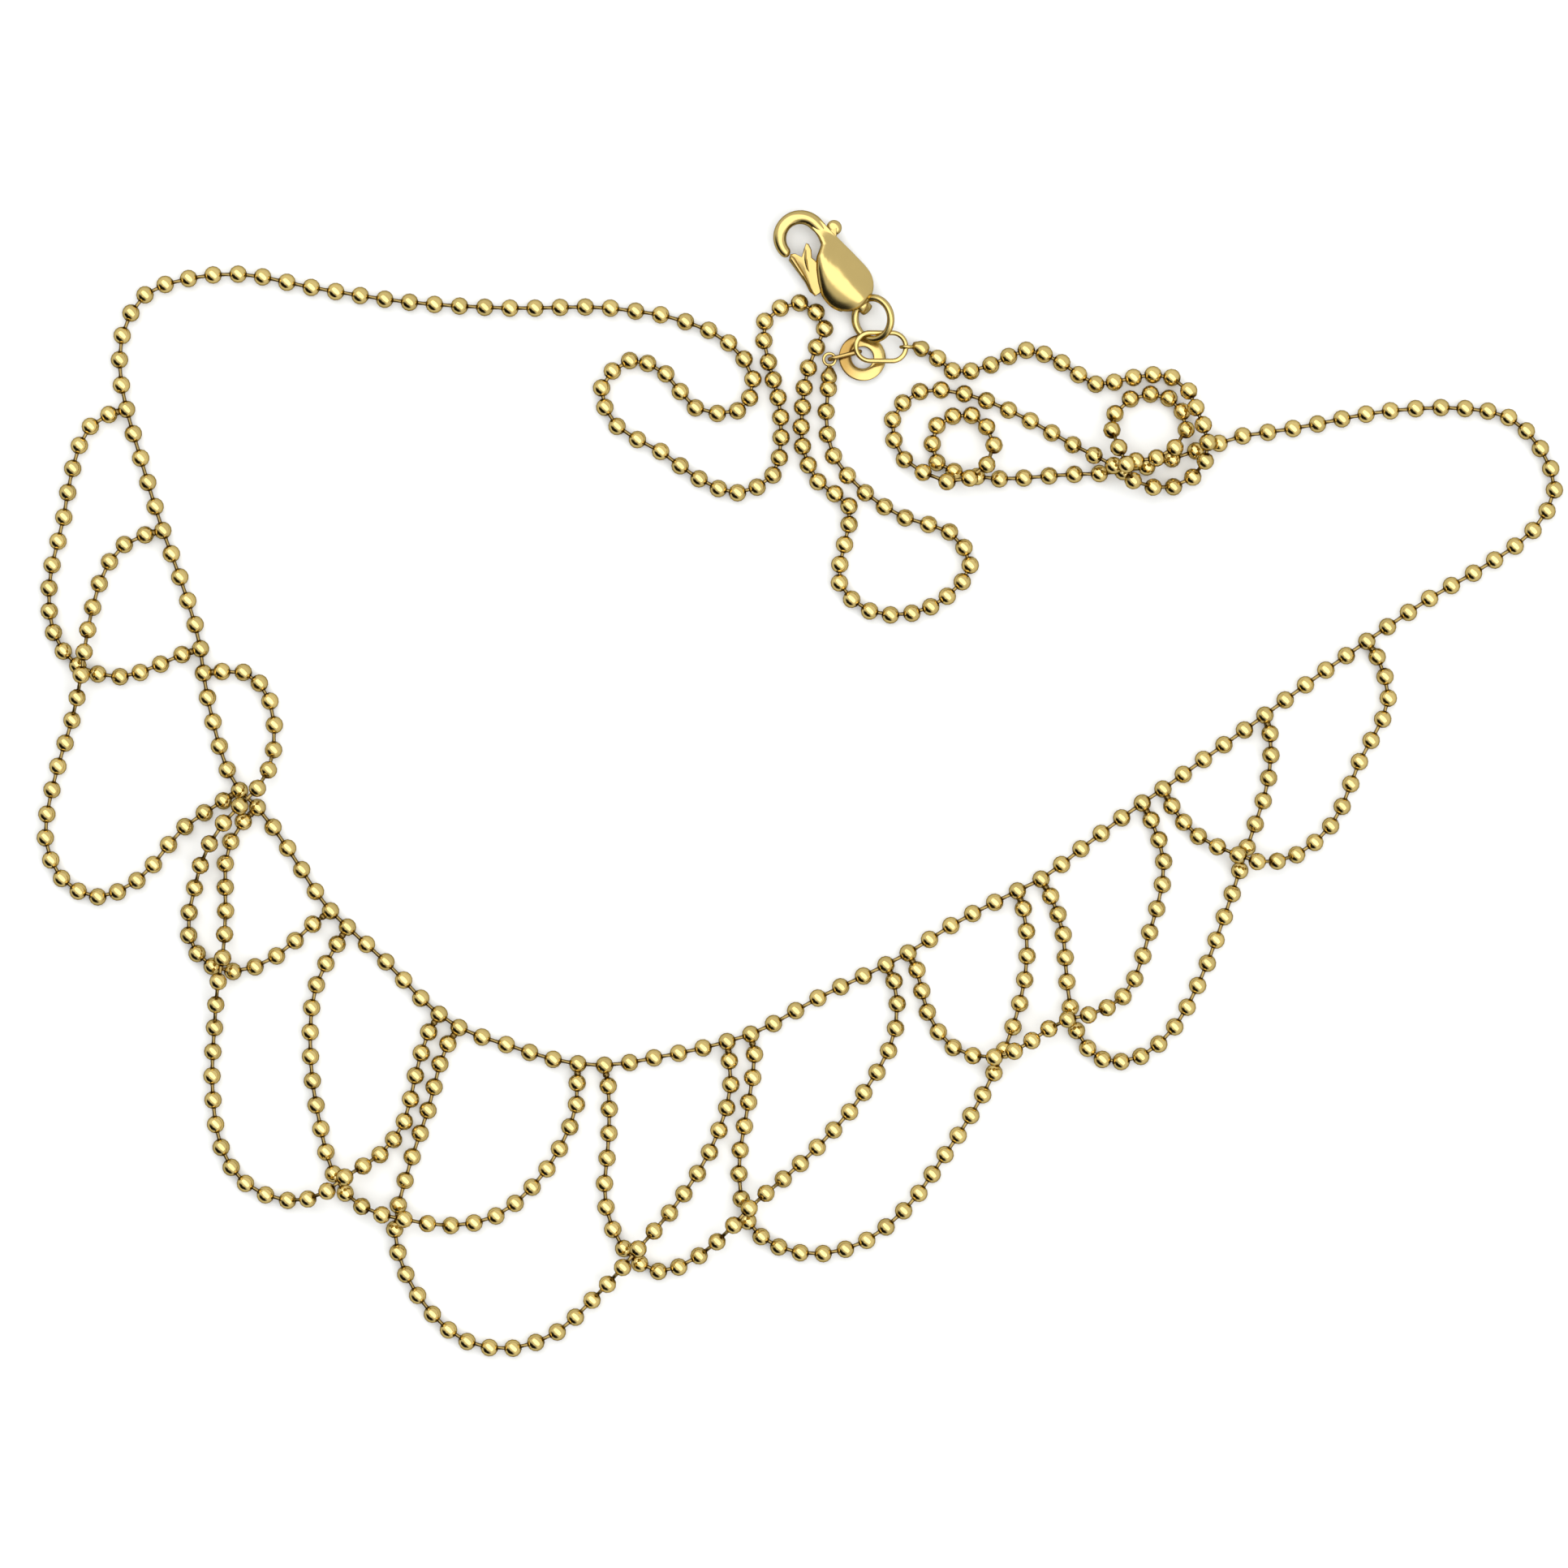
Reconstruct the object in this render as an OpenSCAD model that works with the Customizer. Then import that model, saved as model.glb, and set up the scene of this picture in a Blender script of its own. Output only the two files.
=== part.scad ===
// Festoon necklace of gold ball chain, lying flat and spread out on a table.
// The neck chain runs from the flat ring on its left end, round the front, to the
// round ring and the lobster clasp on its right end. Eleven swags of the same
// chain hang from the front of it and overlap each other like curtains.
// X is to the right, Y points away from the wearer's chest towards the clasp,
// and Z is up from the table at z = 0.

/* [Chain] */
// Diameter of one hollow bead
bead_d = 1.2; // [1:0.05:1.25]
// Diameter of the wire that links the beads
wire_d = 0.26; // [0.2:0.02:0.3]
// Clearance between that wire and its hole in a bead
wire_gap = 0.14; // [0.1:0.02:0.18]
// Clearance between two strands that cross each other
cross_gap = 0.1; // [0.06:0.02:0.3]
// Clearance between a swag's end and the neck bead that it hangs from
seat_gap = 0.1; // [0.05:0.01:0.2]

/* [Clasp] */
// Radius of the hook, to the middle of its wire
hook_r = 1.4; // [1.3:0.05:1.5]
// Thickness of the hook's wire
hook_d = 0.9; // [0.8:0.05:0.95]
// Width of the rounded body
body_w = 3.6; // [3.4:0.05:3.7]
// Thickness of the body at its middle
body_t = 2.2; // [2:0.05:2.4]
// Thickness of the lever that closes the hook
lever_t = 0.5; // [0.4:0.05:0.55]
// Clearance over and under the lever in its slot
lever_gap = 0.1; // [0.08:0.01:0.15]
// Diameter of the pin that the lever turns on
pin_d = 0.6; // [0.5:0.05:0.7]
// Clearance between the pin and its hole in the lever
pin_gap = 0.1; // [0.06:0.01:0.15]
// Diameter of the round thumb knob on the lever
knob_d = 1; // [0.9:0.02:1.06]

/* [Rings and ends] */
// Radius of the round ring on the clasp, to the middle of its wire
clasp_ring_r = 1.4; // [1.35:0.01:1.45]
// Thickness of the wire of that round ring
clasp_ring_d = 0.44; // [0.36:0.02:0.48]
// Half the length of the thin oval ring on the right end, to its wire
oval_ring_l = 1.7; // [1.65:0.01:1.75]
// Half the width of the thin oval ring, to its wire
oval_ring_w = 0.95; // [0.92:0.01:1]
// Thickness of the wire of the oval ring
oval_ring_d = 0.3; // [0.24:0.02:0.32]
// Outer diameter of the flat ring that the hook closes on
end_ring_d = 3.2; // [3:0.05:3.25]
// Diameter of the hole in the flat ring
end_ring_bore = 1.5; // [1.4:0.02:1.6]
// Thickness of the flat ring
end_ring_t = 0.24; // [0.2:0.02:0.26]
// Half the length of the small link on the flat ring, to its wire
end_link_l = 1.07; // [1.05:0.01:1.1]
// Half the width of that link, to its wire
end_link_w = 0.45; // [0.44:0.01:0.48]
// Thickness of the wire of that link
end_link_d = 0.28; // [0.22:0.02:0.3]
// Diameter of the round cap on each end of the chain
cap_d = 1.1; // [1:0.02:1.14]
// Radius of the loop on each cap, to the middle of its wire
cap_loop_r = 0.4; // [0.38:0.01:0.42]
// Thickness of the wire of that loop
cap_loop_d = 0.22; // [0.18:0.02:0.24]

/* [Hidden] */
gold = "#c9a54a";
pale_gold = "#dcc27c";
$fn = 48;

// Height that one strand rises by to cross another
cross_lift = bead_d + cross_gap;
tube_sides = 8;
drill_d = wire_d + 2 * wire_gap;

// The routes. A row is [x, y, height, beads]: the place of a bead in mm, its height
// as a number of strands that it passes over, and how many beads on it lies.
// The front and the plain sides of the neck chain, from left to right
NECK = [[-9.4, 31.7, 0, 0], [-12.8, 32.15, 0, 2], [-19.6, 32.15, 0, 4], [-26.4, 32.55, 0, 4],
    [-33.05, 33.55, 0, 4], [-38, 34.45, 0, 3], [-41.35, 34.15, 0, 2], [-44.3, 33.05, 0, 2],
    [-45.85, 30.3, 0, 2], [-45.9, 26.95, 0, 2], [-45.55, 25.3, 0, 1], [-44.6, 22, 0, 2],
    [-43.1, 17.1, 0, 3], [-41.95, 13.95, 0, 2], [-40.55, 9.1, 0, 3], [-40.35, 7.45, 0, 1],
    [-39.7, 4.15, 0, 2], [-37.9, -0.5, 0, 3], [-36.7, -1.65, 0, 1], [-34.65, -4.4, 0, 2],
    [-31.75, -8.65, 0, 3], [-30.6, -9.75, 0, 1], [-28, -12.1, 0, 2], [-24.4, -15.65, 0, 3],
    [-23.05, -16.55, 0, 1], [-19.85, -17.7, 0, 2], [-15, -19, 0, 3], [-13.2, -19.1, 0, 1],
    [-9.85, -18.6, 0, 2], [-4.9, -17.5, 0, 3], [-3.3, -17, 0, 1], [1.25, -14.55, 0, 3],
    [5.85, -12.3, 0, 3], [7.35, -11.5, 0, 1], [10.25, -9.65, 0, 2], [14.75, -7.3, 0, 3],
    [16.35, -6.5, 0, 1], [19.05, -4.45, 0, 2], [23.2, -1.35, 0, 3], [24.6, -0.4, 0, 1],
    [27.35, 1.6, 0, 2], [31.5, 4.6, 0, 3], [34.25, 6.65, 0, 2], [38.4, 9.6, 0, 3],
    [42.65, 12.5, 0, 3], [47.05, 15.1, 0, 3], [49.65, 17.1, 0, 2], [51.1, 19.85, 0, 2],
    [50.15, 22.65, 0, 2], [48, 24.75, 0, 2], [45.05, 25.35, 0, 2], [40, 25.2, 0, 3],
    [33.4, 24, 0, 4], [30, 23.5, 0, 2]];
// The left end of the neck chain, from the front to its cap
TAIL_LEFT = [[-6.15, 30.65, 0, 2], [-3.75, 28.7, 0, 2], [-3.15, 27.35, 0, 1], [-4.2, 25.2, 0, 2],
    [-7.05, 25.4, 0, 2], [-9.05, 27.7, 0, 2], [-11.5, 28.6, 0, 2], [-13.4, 26.75, 0, 2],
    [-12.35, 24.15, 0, 2], [-9.4, 22.45, 0, 2], [-6.8, 20.6, 0, 2], [-4.2, 19.65, 0, 2],
    [-1.8, 20.85, 0, 2], [-1.25, 23.4, 0, 2], [-1.45, 26.1, 0, 2], [-2.1, 28.5, 0, 2],
    [-2.35, 31.25, 0, 2], [0, 32.5, 0, 2], [1.7, 30.75, 0, 2], [1.15, 29.5, 0, 1], [0.6, 28.1, 0, 1],
    [0.2, 25.45, 0, 2], [0.2, 22.8, 0, 2], [1.25, 20.4, 0, 2], [3.35, 18.75, 0, 2],
    [3.05, 16.15, 0, 2], [2.7, 13.55, 0, 2], [4.75, 11.65, 0, 2], [7.6, 11.5, 0, 2],
    [10, 12.65, 0, 2], [11.55, 14.75, 0, 2], [10.15, 17, 0, 2], [7.15, 17.95, 0, 2],
    [4.45, 19.65, 0, 2], [2.3, 22.15, 0, 2], [1.8, 25.15, 0, 2], [1.95, 26.7, 0, 1]];
// The right end of the neck chain, from the front to its cap
TAIL_RIGHT = [[28.4, 23, 0, 1], [25.2, 21.95, 0, 2], [23.5, 21.4, 0, 1], [20.3, 20.95, 0, 2],
    [18.6, 20.9, 0, 1], [12, 20.75, 0, 4], [9.3, 21.7, 0, 2], [9.3, 24.2, 0, 2],
    [11.65, 24.9, 0, 2], [13.15, 22.85, 0.4, 2], [12.65, 21.5, 1, 1], [9.95, 20.35, 1, 2],
    [8.35, 21, 0.5, 1], [7.1, 21.9, 0, 1], [6.3, 24.6, 0, 2], [8.15, 26.5, 0, 2],
    [11.15, 26.35, 0, 2], [14.15, 25.25, 0, 2], [18.5, 22.9, 0, 3], [19.9, 22.15, 0.6, 1],
    [21.2, 21.45, 1, 1], [22.7, 21.75, 1, 1], [24.1, 21.95, 1, 1], [25.35, 22.65, 1, 1],
    [26.15, 23.9, 0.3, 1], [25, 26.05, 0, 2], [22.4, 26, 0, 2], [21.35, 25, 0.1, 1], [21.1, 23.85, 0.8, 1],
    [21.5, 22.6, 1.85, 1], [22, 21.45, 2.25, 1], [22.5, 20.4, 1.4, 1], [23.9, 20, 0.6, 1],
    [25.3, 20.05, 0.1, 1], [26.6, 20.7, 0.2, 1], [27.4, 21.75, 0.85, 1], [27.55, 23, 1.1, 1],
    [26.75, 25.35, 1, 2], [26.3, 26.5, 0.6, 1], [25.2, 27.45, 0, 1], [22.6, 27.45, 0, 2],
    [20.05, 27, 0, 2], [17.75, 28.45, 0, 2], [15.35, 29.3, 0, 2], [12.95, 28.3, 0, 2],
    [10.35, 27.9, 0, 2], [9.35, 28.75, 0, 1]];
// The swags, from right to left. Each is [first neck bead, last neck bead, rows], and
// its last neck bead lies one bead on from its last row
SWAGS = [
    [96, 86, [[39.1, 8.55, 0, 1], [39.85, 5.75, 0, 2], [37.9, 1.45, 0, 3], [35.95, -2.9, 0, 3],
        [33.65, -4.85, 0, 2], [30.9, -5.3, 1, 2], [29.6, -4.85, 1, 1], [27, -3.6, 0, 2],
        [25.2, -1.55, 0, 2]]],
    [91, 80, [[31.85, 3.35, 0, 1], [31.75, 0.35, 0, 2], [30.3, -4.35, 0, 3], [28.75, -9.05, 0, 3],
        [26.95, -13.7, 0, 3], [25.4, -16.5, 0, 2], [23.1, -18.5, 0, 2], [20.5, -18.7, 0, 2],
        [18.75, -16.75, 0, 2], [18.1, -13.45, 0, 2], [17.85, -10.25, 0, 2], [17, -7.65, 0, 2]]],
    [85, 74, [[23.8, -2.5, 0, 1], [24.65, -5.3, 0, 2], [23.7, -10.1, 0, 3], [21.9, -14.45, 0, 3],
        [19.5, -15.65, 1, 2], [18.1, -15.95, 1, 1], [16.85, -16.6, 0.6, 1], [14.5, -18.1, 1, 2],
        [13.15, -18.5, 1, 1], [10.4, -17.9, 0, 2], [8.65, -15.5, 0, 2], [7.95, -12.65, 0, 2]]],
    [79, 67, [[15.15, -8.5, 0, 1], [15.4, -11.7, 0, 2], [14.45, -16.5, 0, 3], [12.4, -21.1, 0, 3],
        [9.85, -25.15, 0, 3], [7.05, -28.95, 0, 3], [4.55, -30.95, 0, 2], [1.6, -31.85, 0, 2],
        [-1.4, -31.4, 0, 2], [-3.5, -29.65, 0, 2], [-4.1, -26.45, 0, 2], [-3.45, -21.6, 0, 3],
        [-3.05, -18.35, 0, 2]]],
    [73, 61, [[6.4, -13.4, 0, 1], [6.5, -16.6, 0, 2], [4.35, -20.95, 0, 3], [1.2, -24.65, 0, 3],
        [-1.1, -26.8, 0, 2], [-3.4, -28.7, 1, 2], [-4.45, -29.85, 1, 1], [-6.8, -32, 0, 2],
        [-9.55, -33.05, 0, 2], [-11.9, -31.5, 0, 2], [-13.1, -28.7, 0, 2], [-12.9, -23.7, 0, 3],
        [-12.95, -20.5, 0, 2]]],
    [66, 55, [[-4.75, -18.8, 0, 1], [-4.65, -20.4, 0, 1], [-5.45, -23.5, 0, 2], [-8.8, -29.1, 0, 4],
        [-10.9, -31.45, 1, 2], [-11.95, -32.7, 1, 1], [-14.05, -35, 0, 2], [-16.4, -37.15, 0, 2],
        [-19.4, -38.25, 0, 2], [-22.5, -37.8, 0, 2], [-24.85, -35.95, 0, 2], [-26.65, -33.25, 0, 2],
        [-27.4, -30.2, 0, 2], [-26.7, -26.9, 0, 2], [-25.15, -22.15, 0, 3], [-23.8, -17.65, 0, 3]]],
    [49, 60, [[-31.3, -10.9, 0, 1], [-32.7, -13.65, 0, 2], [-33.1, -18.5, 0, 3],
        [-32.4, -23.4, 0, 3], [-31.55, -26.45, 0, 2], [-30.75, -27.75, 0, 1], [-28.2, -29.15, 1, 2],
        [-26.7, -29.45, 1, 1], [-23.6, -29.95, 0, 2], [-20.55, -29.3, 0, 2], [-18.1, -27.35, 0, 2],
        [-16.25, -24.75, 0, 2], [-15.1, -21.75, 0, 2], [-15.05, -20.3, 0, 1]]],
    [43, 54, [[-37.65, -2.6, 0, 1], [-38.5, -3.95, 0, 1], [-38.85, -8.65, 0, 3],
        [-38.95, -11.8, 1, 2], [-39.25, -13.4, 1, 1], [-39.6, -16.55, 0, 2], [-39.7, -21.45, 0, 3],
        [-39.15, -24.65, 0, 2], [-37.5, -27.1, 0, 2], [-34.65, -28.25, 0, 2], [-31.9, -27.55, 1, 2],
        [-30.7, -26.6, 1, 1], [-28.4, -25.15, 0, 2], [-26.75, -22.9, 0, 2], [-26, -19.8, 0, 2],
        [-25.1, -16.85, 0, 2]]],
    [37, 48, [[-39.1, 7.55, 0, 1], [-37.65, 7.5, 0, 1], [-35.85, 5.55, 0, 2], [-35.6, 2.25, 0, 2],
        [-36.6, -0.35, 1, 2], [-37.8, -1.55, 1, 1], [-38.9, -2.7, 1, 1], [-39.85, -4.1, 0.9, 1],
        [-40.95, -7.1, 0, 2], [-41.35, -10.3, 0, 2], [-39.75, -12.4, 0, 2], [-38.35, -12.75, 0, 1],
        [-35.4, -11.7, 0, 2], [-32.95, -9.55, 0, 2]]],
    [31, 42, [[-44.3, 16.8, 0, 1], [-45.7, 16.15, 0, 1], [-47.4, 13.5, 0, 2], [-47.85, 11.9, 0, 1],
        [-48.3, 8.85, 1, 2], [-48.5, 7.3, 1, 1], [-49.25, 4.25, 0, 2], [-50.6, -0.45, 0, 3],
        [-51.05, -3.7, 0, 2], [-49.95, -6.45, 0, 2], [-47.5, -7.7, 0, 2], [-44.85, -6.6, 0, 2],
        [-41.6, -2.95, 0, 3], [-39, -1.2, 0, 2]]],
    [26, 36, [[-46.75, 24.95, 0, 1], [-48, 24.15, 0, 1], [-49.2, 21.3, 0, 2], [-49.8, 18, 0, 2],
        [-50.8, 13.2, 0, 3], [-50.5, 10.2, 0, 2], [-48.85, 7.95, 0, 2], [-46, 7.2, 0, 2],
        [-43.25, 8.05, 0, 2], [-41.8, 8.7, 0, 1]]]];

// A strand is [places, bead numbers, slopes] at its rows. Its middle line is a cubic
// curve in the bead number s that passes each row's place at that row's number, so
// bead n lies at s = n. The height eases from one row's to the next
function total(rows, i) = i == 0 ? rows[0][3] : total(rows, i - 1) + rows[i][3];
function flat(v) = [v[0], v[1], 0];
function slope(p, k, i) =
    i == 0 ? flat(p[1] - p[0]) / (k[1] - k[0])
    : i == len(p) - 1 ? flat(p[i] - p[i - 1]) / (k[i] - k[i - 1])
    : let (a = k[i] - k[i - 1], b = k[i + 1] - k[i])
        flat((p[i] - p[i - 1]) * b / a + (p[i + 1] - p[i]) * a / b) / (a + b);
function strand(rows) =
    let (p = [for (r = rows) [r[0], r[1], bead_d / 2 + r[2] * cross_lift]],
        k = [for (i = [0:len(rows) - 1]) total(rows, i)])
    [p, k, [for (i = [0:len(rows) - 1]) slope(p, k, i)]];
function section(k, s, i = 0) = i >= len(k) - 2 || s <= k[i + 1] ? i : section(k, s, i + 1);
function on(st, s) =
    let (i = section(st[1], s), h = st[1][i + 1] - st[1][i], t = (s - st[1][i]) / h)
    st[0][i] * (2 * t + 1) * (1 - t) * (1 - t) + st[2][i] * h * t * (1 - t) * (1 - t)
    + st[0][i + 1] * (3 - 2 * t) * t * t - st[2][i + 1] * h * t * t * (1 - t);
function unit(v) = v / norm(v);
function way(st, s) =
    let (last = st[1][len(st[1]) - 1], d = 0.05) unit(on(st, min(s + d, last)) - on(st, max(s - d, 0)));

neck = strand(NECK);
neck_last = total(NECK, len(NECK) - 1);
function neck_row(n, beads) = let (p = on(neck, n)) [p[0], p[1], 0, beads];
function tail(rows, n) = strand(concat([neck_row(n, 0)], rows));
function swag(n) =
    strand(concat([neck_row(SWAGS[n][0], 0)], SWAGS[n][2], [neck_row(SWAGS[n][1], 1)]));
// Bead number at which a tube begins, clear of the bead that it starts from
function start_of(st) = (bead_d / 2 + seat_gap) / norm(on(st, 1) - on(st, 0));
function end_of(st) =
    let (last = st[1][len(st[1]) - 1])
    last - (bead_d / 2 + seat_gap) / norm(on(st, last) - on(st, last - 1));

// Places an object along a strand at bead number s, with its Z along the strand
module along(st, s) {
    w = way(st, s);
    translate(on(st, s)) rotate([0, acos(w[2]), atan2(w[1], w[0])]) children();
}

// A round tube along a strand from bead number s0 to s1, with a ring every step beads
module tube(st, s0, s1, step, d) {
    n = ceil((s1 - s0) / step);
    points = [for (i = [0:n])
        let (s = s0 + (s1 - s0) * i / n, c = on(st, s), w = way(st, s),
            side = unit(cross([0, 0, 1], w)), up = cross(w, side))
        for (j = [0:tube_sides - 1])
            c + d / 2 * (cos(360 * j / tube_sides) * side + sin(360 * j / tube_sides) * up)];
    walls = [for (i = [0:n - 1], j = [0:tube_sides - 1])
        let (a = i * tube_sides, next = (j + 1) % tube_sides)
        [a + j, a + tube_sides + j, a + tube_sides + next, a + next]];
    ends = [[for (j = [0:tube_sides - 1]) j],
        [for (j = [tube_sides - 1:-1:0]) n * tube_sides + j]];
    polyhedron(points, concat(walls, ends));
}

module bead() {
    difference() {
        sphere(d = bead_d);
        cylinder(h = 2 * bead_d, d = drill_d, center = true);
    }
}

module neck_beads() {
    color(gold) for (n = [0:neck_last]) along(neck, n) bead();
}

module neck_wire() {
    color(pale_gold) tube(neck, 0, neck_last, 0.5, wire_d);
}

module swag_tube(n) {
    st = swag(n);
    color(gold) tube(st, start_of(st), end_of(st), 1.5, bead_d);
}

// The tail's tube ends at the far side of its last bead
module tail_tube(st) {
    last = st[1][len(st[1]) - 1];
    color(gold) tube(st, start_of(st), last, 1, bead_d);
}

// The pieces at the chain's ends, each placed from the one before it. A cap's steps run
// from the chain's last bead to the cap, along the cap, and to the middle of its loop
CAP_RIGHT = [[-0.62, 0.42, 0], [-0.71, 0.33, 0.15], [-0.77, 0, 0.2]];
CAP_LEFT = [[0.02, 0.65, 0], [0.05, 0.4, 0], [0.01, 0.93, 0.02]];
oval_tilt = 5.7;
oval_play = [-0.05, 0, 0];
// The round ring leans on the flat ring below it, and so it lies 32 degrees off level
clasp_ring_tilt = 31.8;
clasp_ring_axis = [0.134, -0.605, 0];
link_turn = 14.4;
link_play = [0.15, -0.41, -0.14];
end_ring_tilt = 10.2;
end_ring_axis = [-0.77, 0.64, 0];
function last_bead(rows) = let (r = rows[len(rows) - 1]) [r[0], r[1], bead_d / 2];
right_eye = last_bead(TAIL_RIGHT) + CAP_RIGHT[0] + CAP_RIGHT[1] + CAP_RIGHT[2];
oval_at = right_eye + oval_play - oval_ring_l * [cos(oval_tilt), 0, -sin(oval_tilt)];
clasp_ring_at = oval_at + [-0.55, oval_ring_w + 0.68 * clasp_ring_r, 0.2];
left_eye = last_bead(TAIL_LEFT) + CAP_LEFT[0] + CAP_LEFT[1] + CAP_LEFT[2];
link_way = [cos(link_turn), sin(link_turn), 0];
link_at = left_eye + end_link_l * link_way;
end_ring_at = link_at + end_link_l * link_way + link_play;

// The clasp in its own frame: X runs from the hook to the ring, and Y points to the
// knob's side. The eye is the middle of its lug's hole, which the round ring runs through
CLASP_TURN = -45;
lug_eye = [6, -0.4, -0.25];
lug_bore = 1;
lug_size = [1.4, 0.6, 1.5];
lug_rise = 0.1;
ring_to_eye = [-0.67, 0.67, -0.32];
function clasp_way(v) = [v[0] * cos(CLASP_TURN) - v[1] * sin(CLASP_TURN),
    v[0] * sin(CLASP_TURN) + v[1] * cos(CLASP_TURN), v[2]];
clasp_at = clasp_ring_at + clasp_ring_r * ring_to_eye - clasp_way(lug_eye);
PIVOT = [3.2, 0];
KNOB = [1.12, 2.1];
TAIL = [4.5, -0.05];
arm_w = 0.6;
gate_r = 0.7;
knob_more = 0.1;
slot_from = 0.45;
slot_to = 4.1;
step_at = 5.55;
step_top = 0.5;
slot_t = lever_t + 2 * lever_gap;
hook_from = 80;
hook_end = 267;
BODY = [[0, 1], [0, 1.8], [1.65, 1.8], [4.5, 1.75], [4.5, -1.85], [3.79, -1.75], [3.01, -1.3],
    [2.29, -0.76], [1.75, -0.2], [1.44, 0.4], [1.29, 0.69], [0.66, 0.95]];
LEVER = [[0.73, -1.58], [0.48, -1.19], [0.62, -0.9], [1.1, -0.72], [0.72, -0.3], [0.62, 0],
    [0.8, 0.12], [1.15, 0.05], [2.4, -0.2], [3.2, 0.6], [3.75, 0], [3.6, -1.6], [3.5, -2],
    [3, -2.07], [2.35, -1.8], [1.58, -1.6]];

module on_clasp() {
    translate(clasp_at) rotate([0, 0, CLASP_TURN]) children();
}

// The pillow shape that the body is cut from: thin at both ends and at both sides
module pillow() {
    long_r = 15;
    mid = [3.6, 0];
    rotate([90, 0, 0]) linear_extrude(8, center = true) intersection() {
        translate([mid[0], long_r - body_t / 2]) circle(long_r, $fn = 180);
        translate([mid[0], body_t / 2 - long_r]) circle(long_r, $fn = 180);
    }
}

module pillow_side() {
    side_r = 2.6;
    side_t = 1.25 * body_t / 2.2;
    rotate([90, 0, 90]) linear_extrude(16, center = true) intersection() {
        translate([0.1, side_r - side_t]) circle(side_r, $fn = 96);
        translate([0.1, side_t - side_r]) circle(side_r, $fn = 96);
    }
}

module body_blank() {
    intersection() {
        linear_extrude(2 * body_t, center = true) union() {
            polygon(BODY);
            translate(TAIL) circle(body_w / 2);
        }
        pillow();
        pillow_side();
    }
}

// The slot that the lever swings in, and the step behind it where the lug stands
module body_cuts() {
    translate([slot_from, -body_w, -slot_t / 2]) cube([slot_to - slot_from, 2 * body_w, slot_t]);
    translate([step_at, -body_w, -body_t]) cube([body_w, 2 * body_w, body_t + step_top]);
}

module lug() {
    translate(lug_eye + [0, 0, lug_rise]) cube(lug_size, center = true);
}

module hook() {
    rotate([0, 0, hook_from]) rotate_extrude(angle = hook_end - hook_from)
        translate([hook_r, 0]) circle(d = hook_d);
    rotate([0, 0, hook_end]) translate([hook_r, 0, 0]) sphere(d = hook_d);
}

module clasp_body() {
    color(gold) on_clasp() difference() {
        union() {
            difference() {
                body_blank();
                body_cuts();
            }
            lug();
            hook();
            translate([PIVOT[0], PIVOT[1], 0]) cylinder(h = slot_t + pin_d, d = pin_d, center = true);
        }
        translate(lug_eye) rotate([90, 0, 0]) cylinder(h = 4 * lug_size[1], d = lug_bore, center = true);
    }
}

module clasp_lever() {
    reach = KNOB - PIVOT;
    color(pale_gold) on_clasp() difference() {
        union() {
            linear_extrude(lever_t, center = true) union() {
                polygon(LEVER);
                translate(PIVOT) circle(gate_r);
                translate(PIVOT) rotate(atan2(reach[1], reach[0])) translate([0, -arm_w / 2])
                    square([norm(reach), arm_w]);
            }
            translate([KNOB[0], KNOB[1], 0]) cylinder(h = lever_t + knob_more, d = knob_d, center = true);
        }
        translate([PIVOT[0], PIVOT[1], 0]) cylinder(h = 2 * slot_t, d = pin_d + 2 * pin_gap, center = true);
    }
}

module ring(r, d) {
    rotate_extrude() translate([r, 0]) circle(d = d, $fn = 24);
}

// A flat oval of round wire, l and w from its middle to the middle of the wire
module oval(l, w, d) {
    for (side = [0, 180]) rotate([0, 0, side]) {
        translate([l - w, 0, 0]) rotate([0, 0, -90]) rotate_extrude(angle = 180)
            translate([w, 0]) circle(d = d, $fn = 24);
        translate([w - l, w, 0]) rotate([0, 90, 0]) cylinder(h = 2 * (l - w), d = d, $fn = 24);
    }
}

module clasp_ring() {
    color(gold) translate(clasp_ring_at) rotate(a = clasp_ring_tilt, v = clasp_ring_axis)
        ring(clasp_ring_r, clasp_ring_d);
}

module oval_ring() {
    color(pale_gold) translate(oval_at) rotate([0, oval_tilt, 0])
        oval(oval_ring_l, oval_ring_w, oval_ring_d);
}

// The flat ring rests on the table at its far edge and on the small link at its near one
module end_ring() {
    color(gold) translate(end_ring_at) rotate(a = end_ring_tilt, v = end_ring_axis) difference() {
        cylinder(h = end_ring_t, d = end_ring_d, center = true);
        cylinder(h = 2 * end_ring_t, d = end_ring_bore, center = true);
    }
}

module end_link() {
    color(pale_gold) translate(link_at) rotate([90, 0, link_turn])
        oval(end_link_l, end_link_w, end_link_d);
}

module rod(a, b, d) {
    v = b - a;
    translate(a) rotate([0, acos(v[2] / norm(v)), atan2(v[1], v[0])]) cylinder(h = norm(v), d = d);
}

module capsule(a, b, d) {
    rod(a, b, d);
    translate(a) sphere(d = d);
    translate(b) sphere(d = d);
}

// A cap grips the chain's last bead: a barrel with a short neck and a loop of wire,
// which lies flat or stands on edge
module cap(bead_at, steps, loop_turn) {
    far = bead_at + steps[0];
    near = far + steps[1];
    eye = near + steps[2];
    color(pale_gold) {
        translate(eye) rotate([loop_turn, 0, 0]) ring(cap_loop_r, cap_loop_d);
        rod(eye + cap_loop_r * unit(near - eye), near, cap_loop_d * 1.5);
        capsule(near, far, cap_d);
    }
}

module cap_left() {
    cap(last_bead(TAIL_LEFT), CAP_LEFT, 0);
}

module cap_right() {
    cap(last_bead(TAIL_RIGHT), CAP_RIGHT, 90);
}

module swag_01() {
    swag_tube(0);
}

module swag_02() {
    swag_tube(1);
}

module swag_03() {
    swag_tube(2);
}

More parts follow.
